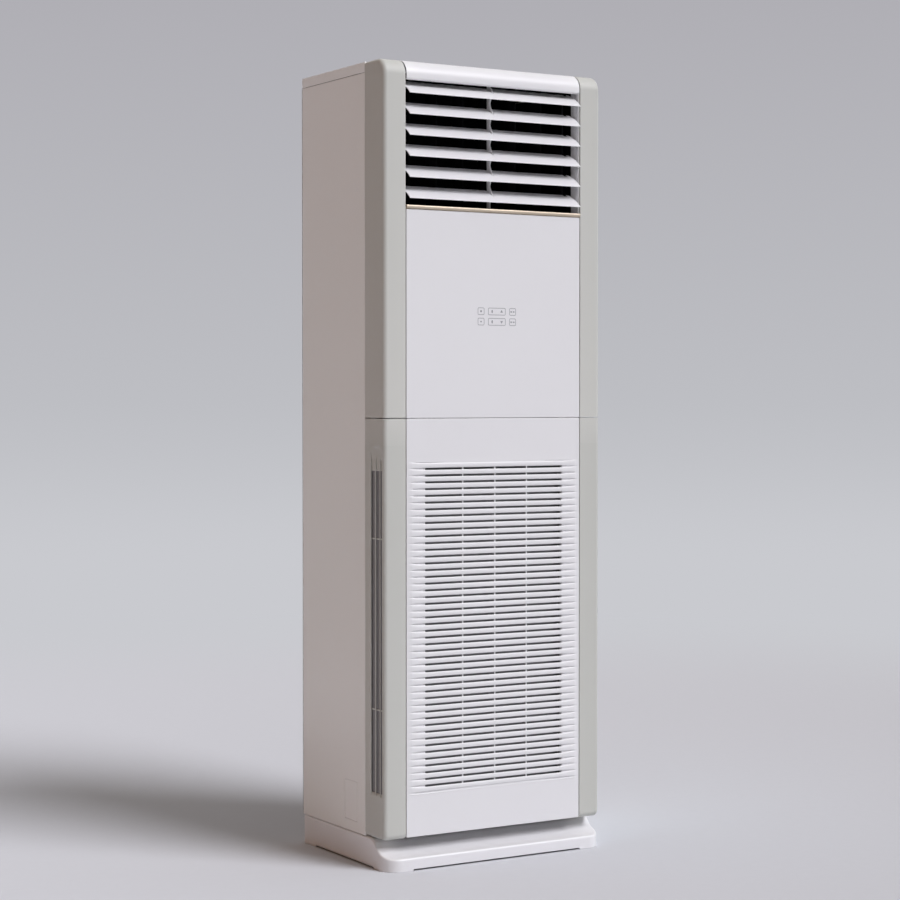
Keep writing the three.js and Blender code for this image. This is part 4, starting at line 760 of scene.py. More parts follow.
def post_solid():
    """The front edge's y is the squared cosine of the height between two pivots, and the blade's
    thickness rounds off towards both edges."""
    pivots = np.array(louvre_pivots())
    low, high = span("louvre_centre_post")
    z = np.linspace(low[2], high[2], 221)
    pitch = pivots[0, 1] - pivots[1, 1]
    phase = (z - pivots[0, 1]) / pitch * math.pi
    beyond = (z < pivots[-1, 1] - POST_ENDS) | (z > pivots[0, 1] + POST_ENDS)
    front = pivots[0, 0] + POST_BACK - POST_REACH * np.where(beyond, 0, np.cos(phase) ** 2)
    edge = np.array([0.3, 1, POST_HALF, POST_HALF, 1, 0.3])
    share = np.array([0, 0.02, 0.06, 0.94, 0.98, 1])
    half = np.concatenate([edge, -edge, edge[:1]])
    share = np.concatenate([share, share[::-1], share[:1]])
    y = front[:, None] + (high[1] - front[:, None]) * share
    return [closed(spread(half, y, z[:, None]))]


post = piece("outlet_post", post_solid())
mount(post, "root", white_abs, "white_abs", "louvre_centre_post")

# ------------------------------------------------------------------ louvres
# Six cambered blades moulded in white ABS, with a round front lip. Each turns on pins in the
# cheeks and the middle post, and a black link joins the cranks behind their right ends.

LOUVRE_CHORD = 62
LOUVRE_CAMBER = 3.5
LOUVRE_LIP = 2.6
LOUVRE_TAIL = 1.4
LOUVRE_TILT = math.radians(31)
PIN_RADIUS = 2.2
PIN_LENGTH = 5.4
MIDDLE_PIN_RADIUS = 1.5
CRANK_RADIUS = 36
CRANK_ANGLE = math.radians(-30)
POST_NOTCH = (2.2, -7)  # half width, and the chord position it reaches forward to
LINK_NOTCH = (6, 19)


def blade_grid(end, link_x):
    """A round-nosed section carried along x. It runs from the tail over the upper side to the nose
    and back underneath: the chord follows a cosine, the camber a parabola. At the ends its
    thickness falls to nothing, and in the notches for post and link its tail is drawn forward."""
    half_chord = LOUVRE_CHORD / 2
    nick = 0.02
    stops = [POST_NOTCH[0], -POST_NOTCH[0], link_x - LINK_NOTCH[0], link_x + LINK_NOTCH[0]]
    x = [-end, -end + 0.3, -end + 1, end - 1, end - 0.3, end, *np.linspace(-200, 200, 9)]
    x = np.sort(np.concatenate([x, *[(stop - nick, stop + nick) for stop in stops]]))
    tail = np.full(len(x), float(half_chord))
    tail[np.abs(x) < POST_NOTCH[0]] = POST_NOTCH[1]
    tail[np.abs(x - link_x) < LINK_NOTCH[0]] = LINK_NOTCH[1]
    turn = np.linspace(0, 2 * math.pi, 65)
    y = (tail[:, None] - half_chord) / 2 + (tail[:, None] + half_chord) / 2 * np.cos(turn)
    u = y / half_chord
    thick = LOUVRE_LIP + (LOUVRE_TAIL - LOUVRE_LIP) * (u + 1) / 2
    thick *= np.sqrt(1 - np.abs(np.cos(turn)) ** 24)
    thick *= np.sqrt(np.clip(end - np.abs(x), 0, 1))[:, None]
    z = LOUVRE_CAMBER * (0.5 - u**2) + np.sign(np.sin(turn)) * thick / 2
    return spread(x[:, None], y, z)


def strap(start, end, half_width, low, high):
    """A flat bar from one (y, z) to another, a little longer at both ends: a rectangle carried
    along the line between them."""
    start, end = np.array(start), np.array(end)
    along = (end - start) / np.linalg.norm(end - start)
    across = np.array([-along[1], along[0]])
    walk = np.array([start - along, start, end, end + along * 2])
    wide = half_width * np.array([0.5, 1, 1, 0.5])
    corner = np.array([1, 1, -1, -1, 1])
    yz = walk[:, None] + across * (wide[:, None] * corner)[..., None]
    x = np.broadcast_to(np.array([low, high, high, low, low]), yz.shape[:2])
    return closed(np.stack([x, yz[..., 0], yz[..., 1]], -1))


def tilted(grid, pivot):
    """Points made round a level louvre's pivot, leaned to its rest position and put in place."""
    c, s = math.cos(LOUVRE_TILT), math.sin(LOUVRE_TILT)
    y, z = grid[..., 1], grid[..., 2]
    return np.stack([grid[..., 0], pivot[0] + c * y - s * z, pivot[1] + s * y + c * z], -1)


def louvre_solid(pivot, link_x):
    """The blade with its end pins, its middle pin and the crank with its pin."""
    outer = span("louvre_1")[1][0]
    end = outer - PIN_LENGTH
    tip = CRANK_RADIUS * np.array([math.cos(CRANK_ANGLE), math.sin(CRANK_ANGLE)])
    pin = [(0, end - 3), (PIN_RADIUS, end - 3), (PIN_RADIUS, outer - 0.4), (1.8, outer), (0, outer)]
    middle = [(0, -6), (MIDDLE_PIN_RADIUS, -6), (MIDDLE_PIN_RADIUS, 6), (0, 6)]
    crank = [(0, link_x - 3), (1.5, link_x - 3), (1.5, link_x + 3.5), (0, link_x + 3.5)]
    end_pin = spun(pin, (0, 0), "x")
    patches = [
        blade_grid(end, link_x),
        end_pin,
        *mirrored([end_pin]),
        spun(middle, (0, 0), "x"),
        spun(crank, tip, "x"),
        strap((13, -0.5), tip, 2.6, link_x + 2.5, link_x + 4.5),
    ]
    return [tilted(patch, pivot) for patch in patches]


link_low, link_high = span("louvre_link")
for name, pivot in zip(LOUVRES, louvre_pivots()):
    blade = piece(name + "_blade", louvre_solid(pivot, (link_low[0] + link_high[0]) / 2))
    mount(blade, name, white_abs, "white_abs", name)
dress(black_abs, "louvre_link", edge=0.3)

# ------------------------------------------------------------------ top cover
# Folded lid of powder-coated steel, whose skirt stands on the cabinet's sheets.

LID_CORNER = 3.5
LID_FOLD = 2.5


def lid_skin():
    """The cover's tray, face up."""
    low, high = span("top_cover")
    x = np.linspace(low[0] + 20, high[0] - 20, 7)
    y = np.linspace(low[1] + 20, high[1] - 20, 5)
    patches = tray(low[:2], high[:2], LID_CORNER, LID_FOLD, high[2] - low[2], x, y)
    return turned_to(patches, lambda x, y, depth: (x, y, high[2] - depth))


lid = piece("top_lid", lid_skin(), facing=(0, 0, 1))
thicken(lid, SHEET)
mount(lid, "root", white_paint, "white_paint", "top_cover")

# ------------------------------------------------------------------ corner pillars
# Hollow pillars moulded in grey ABS. Their round outer edge runs on over the crown at the top and
# the foot at the bottom. The seam of the lower door cuts each into an upper and a lower part.

PILLAR_EDGE = 10
PILLAR_WALL = 1.1
LEDGE = 14.3
LEDGE_DEPTH = 17.8
LEDGE_WALL = 2.5
CROWN = 36
FOOT = 14
INNER_WALL = 13
TOP_HEM = 9
REAR_HEM = 16
ROUND = 0.8


def pillar_skin(node, seam, tip, radius, side_y=(), side_z=(), relief=None, holes=None):
    """Columns go across the pillar: the wall beside the panel, the front, and a quarter circle to
    the outer side. Each has an inset by which its outline in y and z is drawn in: up the front
    from the seam, round the end and back to the rear edge. The outer side is a grid of its own,
    which relief sinks and holes pierce."""
    low, high = span(node)
    outer, inner, front = -low[0], -high[0] + LEDGE, low[1]
    back = span("pillar_upper_left")[1][1]
    sign = 1 if tip > seam else -1
    out, drop = quarter(PILLAR_EDGE, 8)
    x = np.concatenate([[inner, inner, inner + 0.3, inner + 1], outer - PILLAR_EDGE + out])
    inset = np.concatenate([[INNER_WALL, 1, 0.3, 0], drop])
    reach = back - ROUND - front
    share = (np.array(side_y, float) - front - PILLAR_EDGE) / (reach - PILLAR_EDGE)
    share = np.concatenate([[0], share, [0.97, 1]])
    straight = np.sort(np.concatenate([[seam, tip - sign * radius], side_z]))[::sign]
    turn = np.linspace(0, math.pi / 2, 13)[1:, None]
    run = front + radius + share[1:] * (reach - radius)
    run = np.append(run, [back - ROUND / 4, back, back])[:, None]
    lower = np.append(np.zeros(len(share) - 1), [ROUND / 4, ROUND, TOP_HEM])[:, None]
    rising = np.broadcast_arrays(front + inset, straight[:, None])
    y_turn = front + radius - (radius - inset) * np.cos(turn)
    z_turn = tip - sign * radius + sign * (radius - inset) * np.sin(turn)
    ending = np.broadcast_arrays(run, tip - sign * (inset + lower))
    y = np.concatenate([rising[0], y_turn, ending[0]])
    z = np.concatenate([rising[1], z_turn, ending[1]])
    wrap = spread(-x, y, z)
    edge = len(straight) + len(turn)
    y = y[:edge, -1:] + share * (back - ROUND - y[:edge, -1:])
    z = np.broadcast_to(z[:edge, -1:], y.shape)
    side = np.stack([-outer + (relief(y, z) if relief else 0 * y), y, z], -1)
    hem = np.array([(0, -ROUND), (ROUND / 4, -ROUND / 4), (ROUND, 0), (REAR_HEM, 0)])
    hem = spread(-outer + hem[:, 0], back + hem[:, 1], z[:, :1])
    if holes is None:
        return [wrap, side, hem]
    pierced = holes((y[:-1, :-1] + y[1:, 1:]) / 2, (z[:-1, :-1] + z[1:, 1:]) / 2)
    return [wrap, (side, pierced), hem]


def ledge_bar(node, low_z, high_z):
    """The ledge that carries the panel's edge, behind the seam beside the pillar."""
    low, high = span(node)
    back = low[1] + LEDGE_DEPTH
    start = (high[0] - LEDGE - 2, back - LEDGE_WALL, low_z)
    return round_bar(start, (high[0], back, high_z), 0.5)


upper_low, upper_high = span("pillar_upper_left")
trim_low, trim_high = span("trim_strip")
skin = pillar_skin("pillar_upper_left", upper_low[2], upper_high[2], CROWN)
ledge = [ledge_bar("pillar_upper_left", upper_low[2] + 15, trim_low[2] - 5.3)]
for side, patches, bars, look in (
    ("left", skin, ledge, (-1, -1, 0)),
    ("right", mirrored(skin), mirrored(ledge), (1, -1, 0)),
):
    shell = piece(f"pillar_upper_{side}_shell", patches, facing=look)
    thicken(shell, PILLAR_WALL)
    mount(shell, "root", grey_abs, "grey_abs", f"pillar_upper_{side}")
    mount(piece(f"pillar_upper_{side}_ledge", bars), "root", grey_abs, "grey_abs")

# ------------------------------------------------------------------ top bar
# White ABS bar over the outlet, a thin shell that follows the pillars' crown and clips over the
# outlet frame. Its lower edge rolls under in a soft curve that hides the frame's upper rail.

BAR_LIP = 4.8
BAR_HANG = 1.3
BAR_WALL = 2.2
BAR_HEM = 11


def bar_skin():
    """The shell's section carried along x: a quarter circle for the lip, the straight front, a
    quarter circle over the crown, the flat top and a short fold down at the back."""
    low, high = span("top_bar")
    front, back, top = low[1], high[1], high[2]
    turn = np.linspace(0, math.pi / 2, 17)
    crown_y = front + CROWN * (1 - np.cos(turn))
    crown_z = top - CROWN + CROWN * np.sin(turn)
    out, down = quarter(BAR_LIP, 8)
    fold = np.array([ROUND, ROUND / 4, 0])
    y = np.concatenate([front + BAR_LIP - out, crown_y, back - fold, [back]])
    z = np.concatenate([low[2] - BAR_HANG + down, crown_z, top - fold[::-1], [top - BAR_HEM]])
    x = np.linspace(low[0], high[0], 13)[:, None]
    return [spread(x, y, z)]


bar = piece("top_bar_shell", bar_skin(), facing=(0, -1, 1))
thicken(bar, BAR_WALL)
mount(bar, "root", white_abs, "white_abs", "top_bar")

# ------------------------------------------------------------------ trim strip
# Extruded aluminium strip under the outlet, brushed lengthways and anodised in pale champagne.

# Brushed and anodised aluminium: a pale gold metal with fine streaks along its length. The brush
# lines are 0.1 mm apart and are drawn 1 mm apart.
champagne = mottled(
    "champagne_anodised_aluminium", ("#e0d3c2", "#d1c1aa"), (0.4, 0.52), (8.0, 900.0, 900.0), 3.0, 0.15,
    fixed={"Metallic": 1.0},
)


def trim_solid():
    """A crowned section carried along x: the front bulges by the fourth root of one minus the
    fourth power of the height from its middle. The ends are drawn in a little."""
    low, high = span("trim_strip")
    rise = np.linspace(-1, 1, 17)
    proud = (high[1] - low[1] - 0.5) * (1 - rise**4) ** 0.5 + 0.5
    y = np.concatenate([high[1] - proud, [high[1], high[1], high[1] - proud[0]]])
    z = (low[2] + high[2]) / 2 + (high[2] - low[2]) / 2 * np.concatenate([rise, [1, -1, -1]])
    x = np.linspace(low[0], high[0], 9)[:, None]
    return [closed(spread(x, y, z))]


trim = piece("champagne_strip", trim_solid())
mount(trim, "root", champagne, "champagne_trim", "trim_strip")

# ------------------------------------------------------------------ upper panel and touch keys
# Large cover moulded in white ABS and clipped to the pillars' ledges. The touch keys have no
# travel: their outlines and plain marks are printed on it in grey ink.

PANEL_CORNER = 2.5
PANEL_EDGE = 1.2
PANEL_DEPTH = 15
PANEL_WALL = 2.5
PANEL_HANG = 0.9
KEY_DROP = (230.3, 254.3)  # the rows' top edges below the trim strip's top
KEY_HEIGHT = 17
KEY_CORNER = 3
KEY_LINE = 1.2
SMALL_KEY = 18
WIDE_KEY = 48
KEY_GAP = 10.5
KEY_MIDDLE = 5
MARK_SPREAD = 13
PRINT_LIFT = 0.06


def panel_skin():
    """The panel's tray, facing forward. It hangs a little into the seam above the door."""
    low, high = span("upper_front_panel")
    low[2] -= PANEL_HANG
    x = np.linspace(low[0] + 30, high[0] - 30, 9)
    z = np.linspace(low[2] + 30, high[2] - 30, 9)
    patches = tray(low[[0, 2]], high[[0, 2]], PANEL_CORNER, PANEL_EDGE, PANEL_DEPTH, x, z)
    return turned_to(patches, lambda x, z, depth: (x, low[1] + depth, z))


upper_panel = piece("upper_panel_shell", panel_skin(), facing=(0, -1, 0))
thicken(upper_panel, PANEL_WALL)
mount(upper_panel, "root", white_abs, "white_abs", "upper_front_panel")


def rounded_outline(width, height, radius):
    """A closed loop (a, b) round a rectangle with quarter-circle corners, centred on zero."""
    angle = ((np.arange(4)[:, None] + np.linspace(0, 1, 7)) * math.pi / 2).ravel()
    a = np.repeat([1, -1, -1, 1], 7) * (width / 2 - radius) + radius * np.cos(angle)
    b = np.repeat([1, 1, -1, -1], 7) * (height / 2 - radius) + radius * np.sin(angle)
    loop = np.stack([a, b], 1)
    return np.concatenate([loop, loop[:1]])


def line_mark(at, width, height, radius):
    """A printed outline: the band between a rounded rectangle and one drawn in by the line."""
    outer = rounded_outline(width, height, radius)
    inner = rounded_outline(width - 2 * KEY_LINE, height - 2 * KEY_LINE, radius - KEY_LINE)
    return np.array(at) + np.stack([outer, inner])


def spot_mark(at, width, height, sides, turn=0.0):
    """A printed spot: a regular outline with that many sides, filled from its middle."""
    angle = np.linspace(0, 2 * math.pi, sides + 1) + turn
    edge = np.stack([width / 2 * np.cos(angle), height / 2 * np.sin(angle)], 1)
    return np.array(at) + np.stack([edge, 0 * edge])


def key_prints():
    """Two rows of three keys, small, wide and small, with a plain mark or two in each."""
    face = span("upper_front_panel")[0][1] - PRINT_LIFT
    top = trim_high[2]
    side = WIDE_KEY / 2 + KEY_GAP + SMALL_KEY / 2
    marks = []
    for row, drop in enumerate(KEY_DROP):
        z = top - drop - KEY_HEIGHT / 2
        for x, width in ((-side, SMALL_KEY), (0, WIDE_KEY), (side, SMALL_KEY)):
            marks.append(line_mark((KEY_MIDDLE + x, z), width, KEY_HEIGHT, KEY_CORNER))
        marks += [
            spot_mark((KEY_MIDDLE - side, z), 5, 5, 4 if row else 16),
            spot_mark((KEY_MIDDLE - MARK_SPREAD, z), 4, 8, 16),
            spot_mark((KEY_MIDDLE + MARK_SPREAD, z), 8.5, 8.5, 3, math.pi * (1.5 if row else 0.5)),
            spot_mark((KEY_MIDDLE + side - 4, z), 4, 4, 16),
            spot_mark((KEY_MIDDLE + side + 3, z), 7.5, 3.4, 4),
        ]
    return [np.stack([m[..., 0], np.full(m.shape[:2], face), m[..., 1]], -1) for m in marks]


# Pad-printed ink: a thin dull grey film, denser in some places than in others.
ink = mottled("pad_printed_grey_ink", ("#8b8c91", "#9fa0a5"), (0.5, 0.6), 300.0, 2.0, 0.1)
keys = piece("touch_key_prints", key_prints(), facing=(0, -1, 0))
mount(keys, "root", ink, "grey_abs")

# ------------------------------------------------------------------ lower pillars
# The pillars' lower parts belong to the door. In the outer side of each is a tall inlet of three
# slots between ribs, under a shallow scoop, with a nylon net behind. A tongue holds in the catch,
# an ear in the hinge.

INLET_FLOOR = 3.0
INLET_TOP = 914
INLET_BOTTOM = 176
SCOOP_TOP = 971
SCOOP_START = 940
SILL = 9
SLOT_EDGES = np.array([-183.0, -173.5, -170.3, -152.9, -148.9, -130.0])
INLET_BRIDGES = np.array([367.2, 758.6])
BRIDGE_HALF = 1.6
RIB_CREST = 0.8
NET_DEPTH = 4.6
NET_THICKNESS = 1.2
EAR_INSET = 11.5
EAR_THICKNESS = 3
TONGUE_DROP = 36
TONGUE_WALL = 2.5


def band(value, low, high, soft):
    """One between low and high, and falling evenly to nothing over the soft width outside."""
    return np.clip(1 + np.minimum(value - low, high - value) / soft, 0, 1)


def inlet_relief(y, z):
    """The recess is as deep as its floor, and less over the ribs. Above the slots it shallows in
    half an ellipse to the scoop's round top, below them it slopes up the sill."""
    wide = band(y, SLOT_EDGES[0], SLOT_EDGES[-1], 0.5)
    middle, half = (SLOT_EDGES[-1] + SLOT_EDGES[0]) / 2, (SLOT_EDGES[-1] - SLOT_EDGES[0]) / 2
    climb = np.clip(z - SCOOP_START, 0, None) / (SCOOP_TOP - SCOOP_START)
    scoop = np.hypot((y - middle) / (half * 1.25), climb)
    scoop = np.where(z > SCOOP_START, np.sqrt(np.clip(1 - scoop**2, 0, 1)), 1)
    sill = np.clip((z - INLET_BOTTOM + SILL) / SILL, 0, 1)
    ribs = np.maximum(band(y, *SLOT_EDGES[1:3], 0.4), band(y, *SLOT_EDGES[3:5], 0.4))
    ribs *= np.clip((SCOOP_START + 8 - z) / 16, 0, 1)
    return wide * scoop * sill * (INLET_FLOOR - (INLET_FLOOR - RIB_CREST) * ribs)


def inlet_slots(y, z):
    """The cells inside a slot: in one of the three bands, between the ends and off the bridges."""
    slot = np.zeros(y.shape, bool)
    for low, high in SLOT_EDGES.reshape(3, 2):
        slot |= (y > low) & (y < high)
    for bridge in INLET_BRIDGES:
        slot &= np.abs(z - bridge) > BRIDGE_HALF
    return slot & (z > INLET_BOTTOM) & (z < INLET_TOP)


def combine(tree, operation, first, second):
    """Two values joined by a math node: their product, the larger of them or the like."""
    return add(tree, "ShaderNodeMath", {0: first, 1: second}, operation=operation).outputs[0]


def woven_net(name):
    """Nylon monofilament net: dark grey threads that cross square. The mesh is 1 mm in reality and
    is drawn 2 mm, with the threads paler and higher than the holes, which are painted dark as painted
    shade."""
    material, tree, shader, place = blank(name)
    threads = {"Vector": place, "Scale": 50.0, "Distortion": 0.1}
    warp, weft = [
        add(tree, "ShaderNodeTexWave", threads, bands_direction=direction).outputs["Fac"]
        for direction in ("X", "Z")
    ]
    weave = combine(tree, "MAXIMUM", warp, weft)
    # painted shade: the holes between the threads are painted darker than the threads
    tint = blend(tree, weave, "#5c5c5d", "#8e8e90")
    coat(shader, tint, ramp(tree, weave, (0.8, 0.55)), weave, 0.6, 0.0004)
    return material


filter_net = woven_net("nylon_filter_net")


def inlet_net():
    """A flat strip of net behind the slots, with a welded border: a thin box with round edges."""
    x = span("pillar_lower_left")[0][0] + NET_DEPTH
    low = (x, SLOT_EDGES[0] - 3, INLET_BOTTOM - 8)
    high = (x + NET_THICKNESS, SLOT_EDGES[-1] + 3, INLET_TOP + 8)
    return [round_bar(low, high, 0.3)]


panel_low, panel_high = span("lower_front_panel")
foot_z = panel_low[2] - 3
nicks = np.concatenate([SLOT_EDGES - 0.4, SLOT_EDGES, SLOT_EDGES + 0.4])
across = np.sort(np.concatenate([nicks, SLOT_EDGES[:-1] + np.diff(SLOT_EDGES) / 2]))
heights = np.concatenate([
    [INLET_BOTTOM - SILL, INLET_BOTTOM - SILL / 2, INLET_BOTTOM, INLET_TOP, INLET_TOP + 10],
    INLET_BRIDGES - BRIDGE_HALF,
    INLET_BRIDGES + BRIDGE_HALF,
    np.linspace(SCOOP_START - 8, SCOOP_TOP + 2, 22),
    [300, 460, 600, 850],
])
lower = pillar_skin(
    "pillar_lower_left", panel_high[2], foot_z, FOOT,
    side_y=across[1:], side_z=heights, relief=inlet_relief, holes=inlet_slots,
)
hinge = np.array(frame["joints"][0]["pos_m"])[1:] * 1000
ear_x = span("pillar_lower_left")[1][0] - LEDGE - EAR_INSET
tongue_z = panel_high[2] - TONGUE_DROP
fittings = [
    ledge_bar("pillar_lower_left", foot_z + 15, panel_high[2] - 10),
    round_bar((-296, -124.5, tongue_z), (-265, -108, tongue_z + TONGUE_WALL), 0.6),
    strap(hinge, (panel_low[1] + 6, hinge[1] + 26), 7, ear_x - EAR_THICKNESS, ear_x),
]
for side, patches, parts, net, look in (
    ("left", lower, fittings, inlet_net(), (-1, -1, 0)),
    ("right", mirrored(lower), mirrored(fittings), mirrored(inlet_net()), (1, -1, 0)),
):
    shell = piece(f"pillar_lower_{side}_shell", patches, facing=look)
    thicken(shell, PILLAR_WALL)
    mount(shell, "door", grey_abs, "grey_abs", f"pillar_lower_{side}")
    mount(piece(f"pillar_lower_{side}_fittings", parts), "door", grey_abs, "grey_abs")
    mount(piece(f"inlet_net_{side}", net), "door", filter_net, "filter_net")

# ------------------------------------------------------------------ lower panel
# The door's cover, moulded in white ABS: a field of bull-nosed ribs with slots between them. Two
# channels on its back hold the filter.

RIB_PROUD = 2.0
GRILLE_PITCH = 15.5
SLOT_HEIGHT = 4.5
FIRST_SLOT = 917.6
SLOT_COUNT = 48
SLOT_END = 188
SLOT_BRIDGES = np.array([-88, 0, 88])
RIB_END = 232
RIB_TAPER = 24
GRILLE_BRIDGE = 1.5
GROOVE_END = 224
GROOVE_DEPTH = 2.6
CHANNEL_WALL = 2
CHANNEL_LIP = 8
FILTER_PLAY = 0.3


def rib_relief(x, z):
    """Ribs stand out as bull noses: the distance from a rib's crest is raised to the third power.
    They sink in a quarter ellipse to their ends. Past the slots' ends each slot runs on as a sunk
    groove of half-elliptic section, whose width falls as a square root to a point."""
    phase = (z - FIRST_SLOT) / GRILLE_PITCH
    off_slot = np.abs(phase - np.round(phase)) * GRILLE_PITCH
    past = np.clip((np.abs(x) - SLOT_END) / (GROOVE_END - SLOT_END), 0, 1)
    gap = SLOT_HEIGHT / 2 * np.sqrt(1 - past)
    nose = np.clip(1 - ((GRILLE_PITCH / 2 - off_slot) / (GRILLE_PITCH / 2 - gap)) ** 3, 0, 1)
    run = np.clip((np.abs(x) - RIB_END + RIB_TAPER) / RIB_TAPER, 0, 1)
    groove = np.clip(1 - (off_slot / (gap + 1e-6)) ** 2, 0, 1)
    sunk = GROOVE_DEPTH * np.sqrt(groove * (1 - past)) * (np.abs(x) > SLOT_END - 0.1)
    inside = (z < FIRST_SLOT + GRILLE_PITCH) & (z > FIRST_SLOT - SLOT_COUNT * GRILLE_PITCH - 2.5)
    return (sunk - RIB_PROUD * np.sqrt(nose * (1 - run**2))) * inside


def grille_slots(x, z):
    """The cells inside a slot, off the bridges."""
    phase = (z - FIRST_SLOT) / GRILLE_PITCH
    slot = np.abs(phase - np.round(phase)) * GRILLE_PITCH < SLOT_HEIGHT / 2
    slot &= (np.round(phase) <= 0) & (np.round(phase) > -SLOT_COUNT) & (np.abs(x) < SLOT_END)
    for bridge in SLOT_BRIDGES:
        slot &= np.abs(x - bridge) > GRILLE_BRIDGE
    return slot


def grille_skin():
    """The door panel's tray, facing forward, with the ribs' relief and the slots cut out. Grid
    lines crowd at every slot's edge and at the ribs' ends."""
    low, high = panel_low, panel_high
    face = low[1] + RIB_PROUD
    step = SLOT_HEIGHT / 2 + np.array([-1.3, -0.6, 0, 0.2, 0.6, 1.5, 2.9, 4.2])
    step = np.concatenate([-step[::-1], [0], step, [GRILLE_PITCH / 2]])
    rows = FIRST_SLOT - GRILLE_PITCH * np.arange(-1, SLOT_COUNT + 1)
    z = (rows[:, None] + step).ravel()
    z = z[(z < rows[0] + 0.1) & (z > rows[-1] - 2.8)]
    z = np.sort(np.concatenate([z, [low[2] + 12, 120, rows[-1] - 5, rows[0] + 1, 960, 1000]]))
    ends = np.linspace(SLOT_END, GROOVE_END, 10)
    ends = np.concatenate([ends, RIB_END - RIB_TAPER * np.cos(np.linspace(0, math.pi / 2, 7))])
    bridges = np.concatenate([SLOT_BRIDGES - GRILLE_BRIDGE, SLOT_BRIDGES + GRILLE_BRIDGE])
    x = np.unique(np.concatenate([ends, -ends, bridges, [-140, -40, 40, 140]]))
    patches = tray(
        low[[0, 2]], high[[0, 2]], PANEL_CORNER, PANEL_EDGE, PANEL_DEPTH, x, z,
        relief=rib_relief, holes=grille_slots,
    )
    return turned_to(patches, lambda x, z, depth: (x, face + depth, z))


door_panel = piece("door_panel_shell", grille_skin(), facing=(0, -1, 0))
thicken(door_panel, PANEL_WALL)
mount(door_panel, "door", white_abs, "white_abs", "lower_front_panel")


def filter_channels():
    """A U-shaped channel of three bars and a foot at each side of the filter."""
    low, high = span("filter_frame")
    inner, front, back = high[0] + FILTER_PLAY, low[1] - FILTER_PLAY, high[1] + FILTER_PLAY
    foot, top, lip = low[2] - FILTER_PLAY - CHANNEL_WALL, high[2], inner - CHANNEL_LIP
    bars = [
        round_bar((inner, panel_low[1] + 3, foot), (inner + CHANNEL_WALL, back + 2, top), 0.4),
        round_bar((lip, back, foot), (inner + 1, back + CHANNEL_WALL, top), 0.4),
        round_bar((lip, front - CHANNEL_WALL, foot), (inner + 1, front, top), 0.4),
        round_bar((lip, front - 1, foot), (inner + 1, back + 1, foot + CHANNEL_WALL), 0.4),
    ]
    return bars + mirrored(bars)


mount(piece("filter_channels", filter_channels()), "door", white_abs, "white_abs")

# ------------------------------------------------------------------ filter
# Washable filter that slides up out of its channels: a dark nylon net welded into a stiff frame.

dress(filter_net, "filter_frame", edge=0.4)

# ------------------------------------------------------------------ door fittings
# Galvanised hinge brackets on the tray with the pins that the door turns on, and two-pronged
# white clips at the top that hold its tongues.

dress(galvanised, "door_hinge_left", "door_hinge_right", edge=0.3)
dress(white_abs, "door_catch_left", "door_catch_right", edge=0.3)

# ------------------------------------------------------------------ studio
# A matt paper floor that carries the shadow and curves up far behind into a round backdrop. Only
# the camera and mirror-like rays see the backdrop's own light, which falls off with the height.

FLOOR_RADIUS = 9000
WALL_HEIGHT = 7000


def backdrop_light(tree):
    """The paper's look from the camera: its colour changes with the height above the floor."""
    place = add(tree, "ShaderNodeNewGeometry").outputs["Position"]
    height = add(tree, "ShaderNodeSeparateXYZ", {"Vector": place}).outputs["Z"]
    low = ramp(tree, height, over=(0, 1.1), interpolation_type="SMOOTHSTEP")
    tint = blend(tree, low, "#c9cacf", "#bebfc4")
    tint = blend(tree, ramp(tree, height, over=(0.9, 3.6)), tint, "#b0afb5")
    return add(tree, "ShaderNodeEmission", {"Color": tint, "Strength": 1.0}).outputs[0]


def seen_rays(tree):
    """One for rays from the camera, mirrors and glass, nothing for the light that falls."""
    ray = add(tree, "ShaderNodeLightPath").outputs
    mirror = combine(tree, "MAXIMUM", ray["Is Camera Ray"], ray["Is Glossy Ray"])
    return combine(tree, "MAXIMUM", mirror, ray["Is Transmission Ray"])


def studio_paper(name, floor):
    """Matt seamless paper. On the floor, paper lit by the lamp blends into its own light with the
    distance from the object. The wall is clear to the light that falls."""
    material, tree, shader, _ = blank(name)
    share = seen_rays(tree)
    if floor:
        place = add(tree, "ShaderNodeNewGeometry").outputs["Position"]
        tint = blend(tree, noise(tree, place, 40.0, 4.0), "#d2d4d9", "#cfd1d6")
        under = add(tree, "ShaderNodeBsdfDiffuse", {"Color": tint, "Roughness": 0.6})
        far = add(tree, "ShaderNodeVectorMath", {0: place}, operation="LENGTH").outputs["Value"]
        far = ramp(tree, far, over=(2.2, 5.5), interpolation_type="SMOOTHSTEP")
        share = combine(tree, "MULTIPLY", far, share)
    else:
        under = add(tree, "ShaderNodeBsdfTransparent")
    join = {0: share, 1: under.outputs[0], 2: backdrop_light(tree)}
    join = add(tree, "ShaderNodeMixShader", join).outputs[0]
    feed(tree.nodes["Material Output"], {"Surface": join})
    tree.nodes.remove(shader)
    return material


def ring_grid(radii, heights):
    """Rings of points round the origin, each with its radius and height."""
    turn = np.linspace(0, 2 * math.pi, 97)
    radii, heights = np.array(radii, float)[:, None], np.array(heights, float)[:, None]
    return spread(radii * np.cos(turn), radii * np.sin(turn), heights)


floor = piece("studio_floor", [ring_grid([0, 1500, 4000, FLOOR_RADIUS], [0] * 4)], facing=(0, 0, 1))
wall = piece("studio_wall", [ring_grid([FLOOR_RADIUS] * 2, [0, WALL_HEIGHT])])
floor.data.materials.append(studio_paper("studio_paper_floor", floor=True))
wall.data.materials.append(studio_paper("studio_paper_wall", floor=False))

# ------------------------------------------------------------------ light and camera
# One large soft lamp high at the front right, far enough away for its light to be parallel. The sky
# is even light, warmer and dimmer on the left. The camera stands where the photograph was taken.

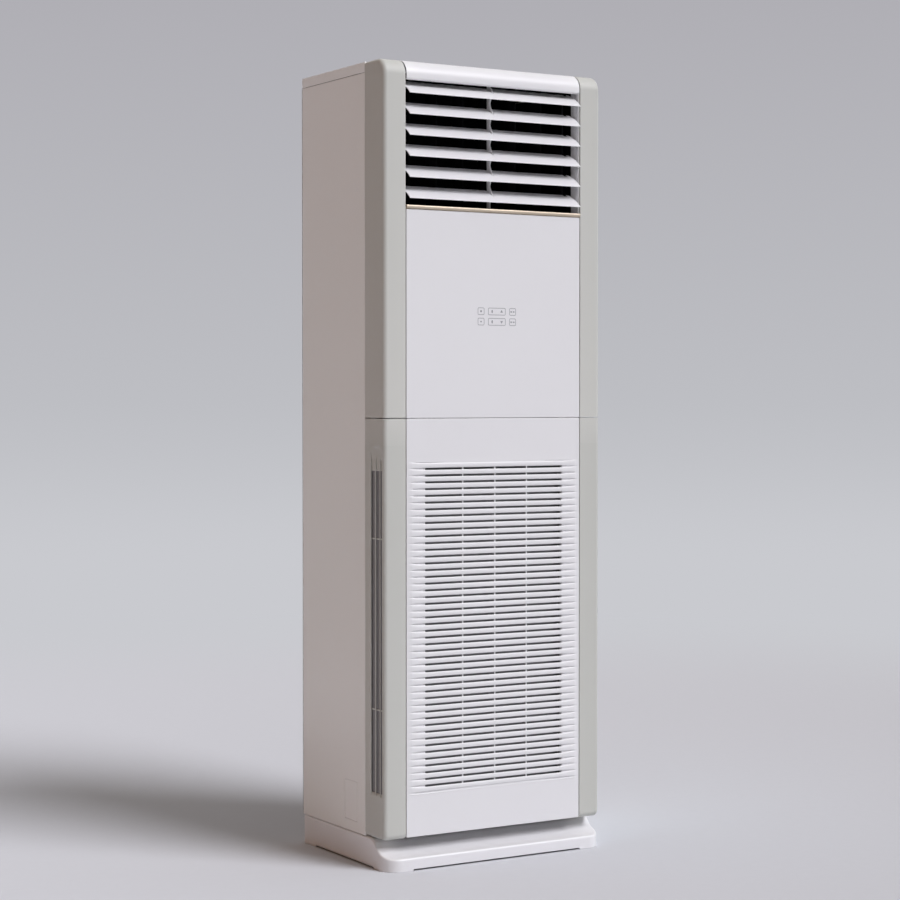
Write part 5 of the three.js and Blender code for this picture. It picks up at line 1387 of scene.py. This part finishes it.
LAMP_AZIMUTH = math.radians(26.5)
LAMP_HEIGHT = math.radians(44)
LAMP_SPREAD = math.radians(28)
LAMP_COLOUR = (1.0, 0.99, 1.035)
LAMP_POWER = 2.29
SKY_LEFT = (0.2, 0.07, 0.0, 1.0)
SKY_RIGHT = (0.55, 0.565, 0.57, 1.0)
SKY_FRONT = (0.2, 0.2, 0.2, 1.0)
CAMERA_PLACE = (-2.7099, -4.4723, 1.0817)
CAMERA_TURN = math.radians(-31.156)
CAMERA_DIP = math.radians(1.391)
CAMERA_LENS = 86.79

flat = math.cos(LAMP_HEIGHT)
towards = flat * math.sin(LAMP_AZIMUTH), -flat * math.cos(LAMP_AZIMUTH), math.sin(LAMP_HEIGHT)
lamp = bpy.data.objects.new("soft_lamp", bpy.data.lights.new("soft_lamp", "SUN"))
lamp.data.energy = LAMP_POWER
lamp.data.angle = LAMP_SPREAD
lamp.data.color = LAMP_COLOUR
lamp.rotation_euler = (-Vector(towards)).to_track_quat("-Z", "Y").to_euler()

world = bpy.data.worlds.new("studio_sky")
world.use_nodes = True
sky = world.node_tree
ray = add(sky, "ShaderNodeTexCoord").outputs["Generated"]
ray = add(sky, "ShaderNodeSeparateXYZ", {"Vector": ray}).outputs
side = ramp(sky, ray["X"], over=(-0.75, 0.1), interpolation_type="SMOOTHSTEP")
front = ramp(sky, ray["Y"], over=(-0.1, -0.9), interpolation_type="SMOOTHSTEP")
light = blend(sky, front, blend(sky, side, SKY_LEFT, SKY_RIGHT), SKY_FRONT)
feed(sky.nodes["Background"], {"Color": light, "Strength": 1.0})

camera = bpy.data.objects.new("camera", bpy.data.cameras.new("camera"))
camera.data.lens = CAMERA_LENS
camera.data.sensor_width = 36
camera.location = CAMERA_PLACE
camera.rotation_euler = (math.pi / 2 - CAMERA_DIP, 0, CAMERA_TURN)
for thing in (lamp, camera):
    bpy.context.scene.collection.objects.link(thing)
bpy.context.scene.camera = camera
bpy.context.scene.world = world
bpy.context.scene.view_settings.view_transform = "Standard"
